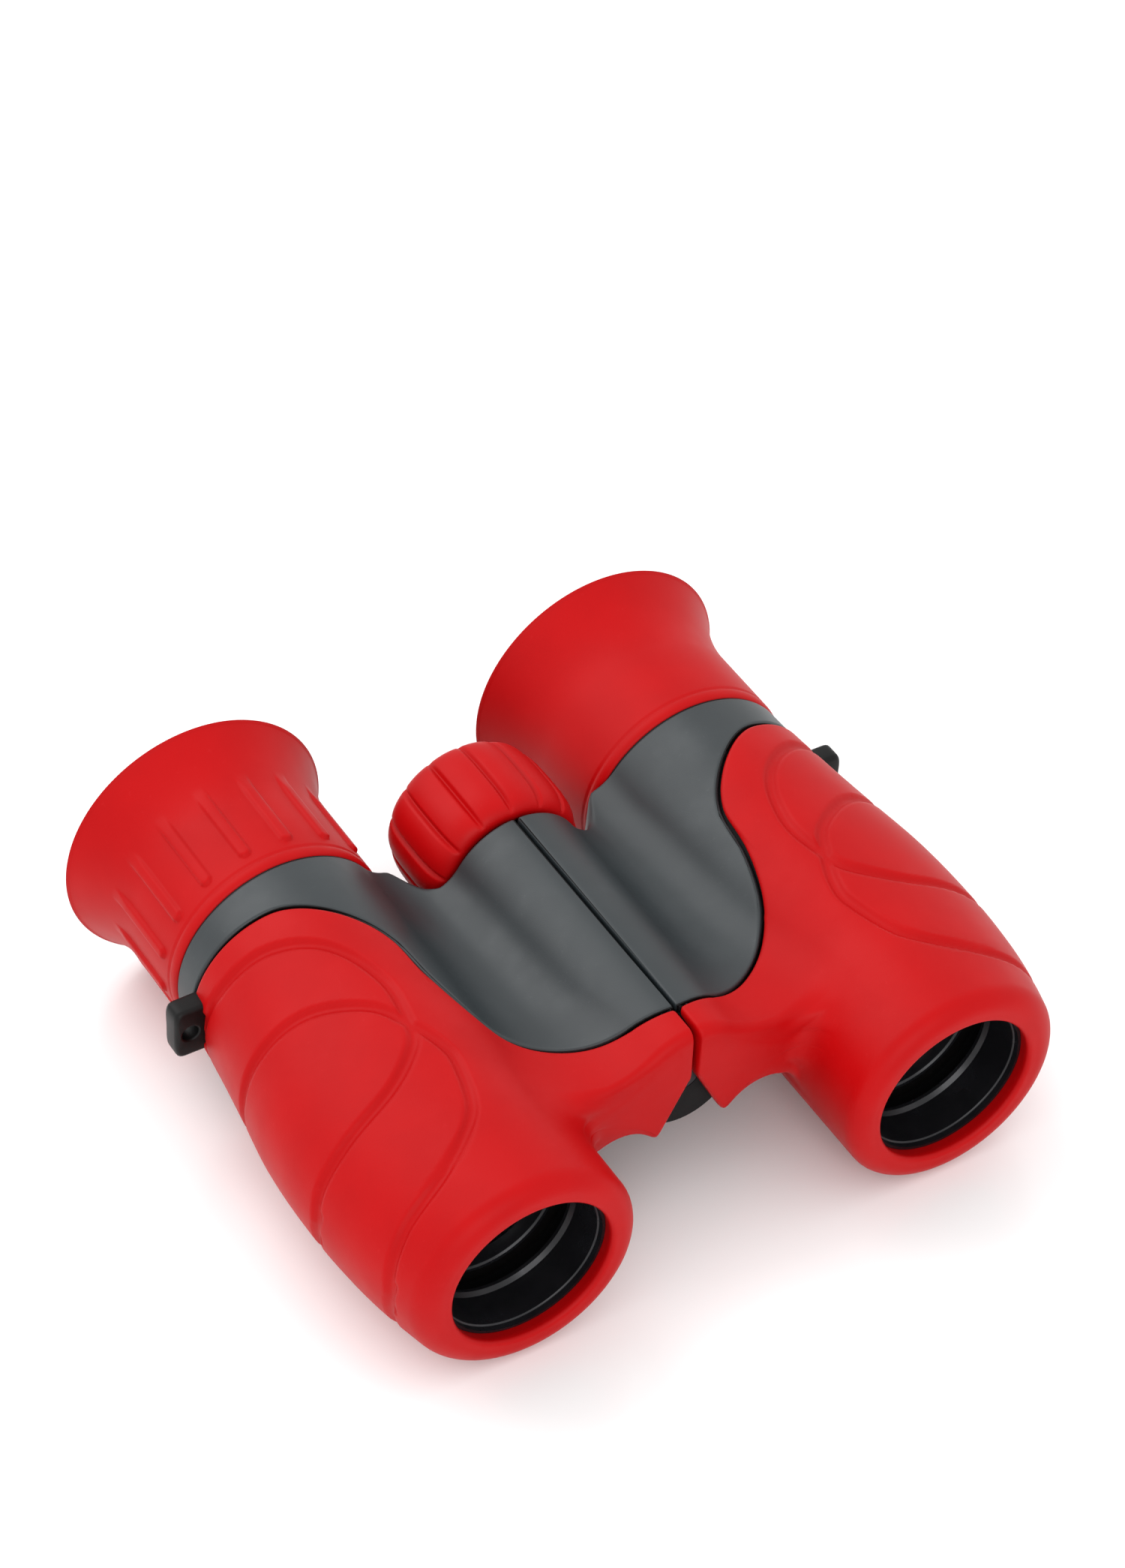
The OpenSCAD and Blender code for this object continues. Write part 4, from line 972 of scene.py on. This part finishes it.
def moulded(name, colours, rough, grain, bump, specular, patch, metal=0.0):
    """Principled material: colours (base, deep, worn, dust) mixed by the groups' masks, roughness between two
    values, and a bump from the grain."""
    material = bpy.data.materials.new(name)
    material.use_nodes = True
    tree = material.node_tree
    shader = tree.nodes["Principled BSDF"]
    coordinate = tree.nodes.new("ShaderNodeTexCoord").outputs["Object"]
    grain_node = placed_group(material, GRAIN, coordinate, {"Grain": grain, "Wave": patch * WAVE_PER_PATCH})
    handled = placed_group(material, HANDLED, coordinate, {"Patch": patch, "Speck": grain * SPECK_PER_GRAIN})
    base, deep, worn, dust = colours
    colour = mixed(tree, remapped(tree, grain_node.outputs["Wave"], *WAVE_RANGE), base, deep)
    colour = mixed(tree, math_node(tree, "MULTIPLY", handled.outputs["Polish"], WORN_SHARE), colour, worn)
    colour = mixed(tree, math_node(tree, "MULTIPLY", handled.outputs["Dust"], DUST_SHARE), colour, dust)
    tree.links.new(colour, shader.inputs["Base Color"])
    roughness = tree.nodes.new("ShaderNodeMapRange")
    roughness.inputs["To Min"].default_value = rough[1]
    roughness.inputs["To Max"].default_value = rough[0]
    tree.links.new(handled.outputs["Polish"], roughness.inputs["Value"])
    tree.links.new(roughness.outputs["Result"], shader.inputs["Roughness"])
    relief = tree.nodes.new("ShaderNodeBump")
    relief.inputs["Strength"].default_value = bump
    relief.inputs["Distance"].default_value = GRAIN_HEIGHT
    tree.links.new(grain_node.outputs["Height"], relief.inputs["Height"])
    tree.links.new(relief.outputs["Normal"], shader.inputs["Normal"])
    shader.inputs["Specular IOR Level"].default_value = specular
    shader.inputs["Metallic"].default_value = metal
    return material


# %% [markdown]
# The soft red rubber is matt, the deck is satin plastic with a fine grain, and the inner sleeves are black
# anodised. Steel and brass show only inside the hinge when it folds, and both are darkened.

# %% The finishes of this object
FINISHES = {
    "red_rubber": moulded(
        "soft_red_rubber", (srgb(173, 3, 6), srgb(168, 2, 5), srgb(177, 6, 9), srgb(180, 22, 25)),
        rough=(0.4, 0.48), grain=5200.0, bump=0.12, specular=0.12, patch=55.0),
    "grey_plastic": moulded(
        "satin_grey_plastic", (srgb(33, 40, 43), srgb(30, 37, 40), srgb(37, 44, 47), srgb(56, 62, 65)),
        rough=(0.4, 0.47), grain=7000.0, bump=0.08, specular=0.5, patch=70.0),
    "black_plastic": moulded(
        "satin_black_plastic", (srgb(9, 8, 8), srgb(7, 6, 6), srgb(13, 12, 12), srgb(34, 32, 32)),
        rough=(0.36, 0.46), grain=6000.0, bump=0.12, specular=0.2, patch=90.0),
    "black_anodised": moulded(
        "black_anodised_metal", (srgb(26, 26, 29), srgb(20, 20, 23), srgb(38, 38, 42), srgb(60, 60, 64)),
        rough=(0.24, 0.34), grain=9000.0, bump=0.06, specular=0.5, patch=120.0, metal=0.35),
    "steel": moulded(
        "blackened_steel", (srgb(58, 58, 61), srgb(48, 48, 51), srgb(74, 74, 77), srgb(84, 82, 80)),
        rough=(0.24, 0.34), grain=8000.0, bump=0.06, specular=0.5, patch=90.0, metal=1.0),
    "brass": moulded(
        "darkened_brass", (srgb(74, 62, 40), srgb(64, 53, 34), srgb(88, 74, 48), srgb(78, 70, 56)),
        rough=(0.3, 0.4), grain=8000.0, bump=0.06, specular=0.5, patch=90.0, metal=1.0),
}
print("finishes:", ", ".join(m.name for m in FINISHES.values()))


# %% [markdown]
# Lenses are clear glass with a thin coating. Smudges vary its roughness a little, and the coating's faint tint
# sits in the colour; transmission and metal stay plain numbers on the shader.

# %% Coated glass
GLASS_IOR, GLASS_ROUGHNESS = 1.52, (0.015, 0.05)


def coated_glass(name):
    """Glass whose tint and roughness drift over the face with the handling mask."""
    material = bpy.data.materials.new(name)
    material.use_nodes = True
    tree = material.node_tree
    shader = tree.nodes["Principled BSDF"]
    coordinate = tree.nodes.new("ShaderNodeTexCoord").outputs["Object"]
    handled = placed_group(material, HANDLED, coordinate, {"Patch": 90.0, "Speck": 1500.0})
    tint = mixed(tree, handled.outputs["Polish"], srgb(226, 236, 240), srgb(236, 238, 246))
    tree.links.new(tint, shader.inputs["Base Color"])
    rough = tree.nodes.new("ShaderNodeMapRange")
    rough.inputs["To Min"].default_value, rough.inputs["To Max"].default_value = GLASS_ROUGHNESS
    tree.links.new(handled.outputs["Dust"], rough.inputs["Value"])
    tree.links.new(rough.outputs["Result"], shader.inputs["Roughness"])
    shader.inputs["Transmission Weight"].default_value = 1.0
    shader.inputs["IOR"].default_value = GLASS_IOR
    return material


FINISHES["lens_glass"] = coated_glass("coated_lens_glass")

# %% [markdown]
# Each CAD node takes the finish of its slot in the record, and each new piece that of the slot it was given. The
# chassis is the exception: what is left to see of it lies in the split and under the bridge, so it gets a near
# black, duller plastic of its own as painted shade, and the split reads as a dark line.

# %% Dress the pieces and the CAD nodes
slot_of = {row["node"]: row["material_slot"] for row in frame["record"]["subparts"]}
# Painted shade: the chassis colours are near black so that its parts in the split and below the bridge read as
# shadow
inner_plastic = moulded(
    "dark_inner_plastic", (srgb(9, 9, 10), srgb(7, 7, 8), srgb(12, 12, 13), srgb(26, 26, 27)),
    rough=(0.5, 0.6), grain=6000.0, bump=0.12, specular=0.15, patch=80.0)
for name, obj in frame["nodes"].items():
    obj.data.materials.clear()
    obj.data.materials.append(inner_plastic if name.endswith("_chassis") else FINISHES[slot_of[name]])
for obj in pieces.values():
    obj.data.materials.append(FINISHES[obj["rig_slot"]])
print("dressed", len(frame["nodes"]), "CAD nodes and", len(pieces), "new pieces")

# %% [markdown]
# The studio is a white floor under a broad soft lamp. The binoculars stand on their eyecup rims and the fronts
# of their barrels, so the floor leans by the angle between the two and touches both. A slight gloss gives it the
# faint mirror image of a polished sheet. When the hinge folds, the left half swings down: a few geometry nodes
# measure how far its pieces reach through the floor and lower the sheet by as much, so it never cuts them.

# %% Floor and light
FLOOR_SIZE = 6.0
FRONT_TOUCH_Y = 3.0
FLOOR_GAP = 0.1 * MM
FLOOR_WHITE, FLOOR_ROUGHNESS, FLOOR_GLOSS = 0.93, 0.22, 0.35
LAMP_TARGET = (0, 0, 0.02)
WORLD_STRENGTH = 1.2


def under_pieces(*shown):
    """Geometry nodes that move a flat sheet down to the lowest of the pieces' boxes, or not at all above it."""
    tree = bpy.data.node_groups.new("under_pieces", "GeometryNodeTree")
    for way in ("INPUT", "OUTPUT"):
        tree.interface.new_socket("Geometry", in_out=way, socket_type="NodeSocketGeometry")
    start, end = tree.nodes.new("NodeGroupInput"), tree.nodes.new("NodeGroupOutput")
    lowest = 0.0
    for obj in shown:
        info = tree.nodes.new("GeometryNodeObjectInfo")
        info.transform_space = "RELATIVE"
        info.inputs["Object"].default_value = obj
        box = tree.nodes.new("GeometryNodeBoundBox")
        corner = tree.nodes.new("ShaderNodeSeparateXYZ")
        tree.links.new(info.outputs["Geometry"], box.inputs["Geometry"])
        tree.links.new(box.outputs["Min"], corner.inputs["Vector"])
        lowest = math_node(tree, "MINIMUM", corner.outputs["Z"], lowest)
    drop = tree.nodes.new("ShaderNodeCombineXYZ")
    move = tree.nodes.new("GeometryNodeTransform")
    tree.links.new(lowest, drop.inputs["Z"])
    tree.links.new(drop.outputs["Vector"], move.inputs["Translation"])
    tree.links.new(start.outputs["Geometry"], move.inputs["Geometry"])
    tree.links.new(move.outputs["Geometry"], end.inputs["Geometry"])
    return tree


def floor_piece():
    """A square of white sheet through the rims' lowest points and the barrels' front edges."""
    back = np.array([0, (FRONT_Y + LENGTH) * MM, 0])
    front = np.array([0, (FRONT_Y + FRONT_TOUCH_Y) * MM, (AXIS_Z - BARREL_R) * MM])
    along = (back - front) / np.linalg.norm(back - front)
    across = np.array([1.0, 0, 0])
    up = np.cross(across, along)
    corners = [(i * FLOOR_SIZE, j * FLOOR_SIZE, -FLOOR_GAP) for i, j in ((-1, -1), (1, -1), (1, 1), (-1, 1))]
    mesh = bpy.data.meshes.new("studio_floor")
    mesh.from_pydata(corners, [], [(0, 1, 2, 3)])
    obj = bpy.data.objects.new("studio_floor", mesh)
    turn = Matrix(np.stack([across, along, up], axis=1).tolist()).to_4x4()
    obj.matrix_world = Matrix.Translation((back + front) / 2) @ turn
    low_pieces = [pieces[f"left_{name}"] for name in ("rubber_skin", "soft_eyecup", "lug")]
    obj.modifiers.new("under_pieces", "NODES").node_group = under_pieces(*low_pieces)
    bpy.context.scene.collection.objects.link(obj)
    material = bpy.data.materials.new("white_sheet")
    material.use_nodes = True
    shader = material.node_tree.nodes["Principled BSDF"]
    shader.inputs["Base Color"].default_value = (FLOOR_WHITE, FLOOR_WHITE, FLOOR_WHITE, 1)
    shader.inputs["Roughness"].default_value = FLOOR_ROUGHNESS
    shader.inputs["Specular IOR Level"].default_value = FLOOR_GLOSS
    mesh.materials.append(material)


def soft_lamp(name, place, target, width, height, watts):
    """Wide or square area lamp that looks from its place to the target."""
    data = bpy.data.lights.new(name, "AREA")
    data.shape = "RECTANGLE"
    data.size, data.size_y = width, height
    data.energy = watts
    lamp = bpy.data.objects.new(name, data)
    back = np.array(place, float) - np.array(target, float)
    back /= np.linalg.norm(back)
    right = np.cross((0, 1, 0), back)
    right /= np.linalg.norm(right)
    up = np.cross(back, right)
    turn = Matrix(np.stack([right, up, back], axis=1).tolist()).to_4x4()
    lamp.matrix_world = Matrix.Translation(place) @ turn
    bpy.context.scene.collection.objects.link(lamp)


floor_piece()
soft_lamp("key", (-0.42, 0.85, 1.0), LAMP_TARGET, width=1.3, height=0.6, watts=6.5)
soft_lamp("front_fill", (-0.5, -1.15, 0.75), LAMP_TARGET, width=0.9, height=0.9, watts=6.0)
world = bpy.data.worlds.new("studio")
bpy.context.scene.world = world
world.use_nodes = True
background = world.node_tree.nodes["Background"]
background.inputs["Color"].default_value = (1, 1, 1, 1)
background.inputs["Strength"].default_value = WORLD_STRENGTH
print("studio: a floor,", len(bpy.data.lights), "lamps and a white surround")

# %% [markdown]
# The camera stands where the photographer stood, found by fitting the barrels' axes and rims to the picture.
# The picture is a crop whose optical middle lies below its centre: the lens shift stands for that crop.

# %% Camera
CAMERA_PLACE = (-0.253062, -0.384414, 0.486684)
CAMERA_RIGHT = (0.8552342, -0.5169025, 0.0372325)
CAMERA_UP = (0.3489420, 0.6274754, 0.6960705)
CAMERA_BACK = (-0.3831630, -0.5823113, 0.7170074)
FOCAL_PX, IMAGE_LONG_PX, OPTICAL_DROP_PX = 5988.0, 2090.0, 285.0
SENSOR = 36.0

camera_data = bpy.data.cameras.new("photo_camera")
camera_data.sensor_width = SENSOR
camera_data.lens = SENSOR * FOCAL_PX / IMAGE_LONG_PX
camera_data.shift_y = OPTICAL_DROP_PX / IMAGE_LONG_PX
camera_data.clip_start = 0.01
camera = bpy.data.objects.new("photo_camera", camera_data)
turn = Matrix((CAMERA_RIGHT, CAMERA_UP, CAMERA_BACK)).transposed().to_4x4()
camera.matrix_world = Matrix.Translation(CAMERA_PLACE) @ turn
bpy.context.scene.collection.objects.link(camera)
bpy.context.scene.camera = camera
bpy.context.scene.view_settings.view_transform = "Standard"
print(f"camera: {camera_data.lens:.1f} mm lens")
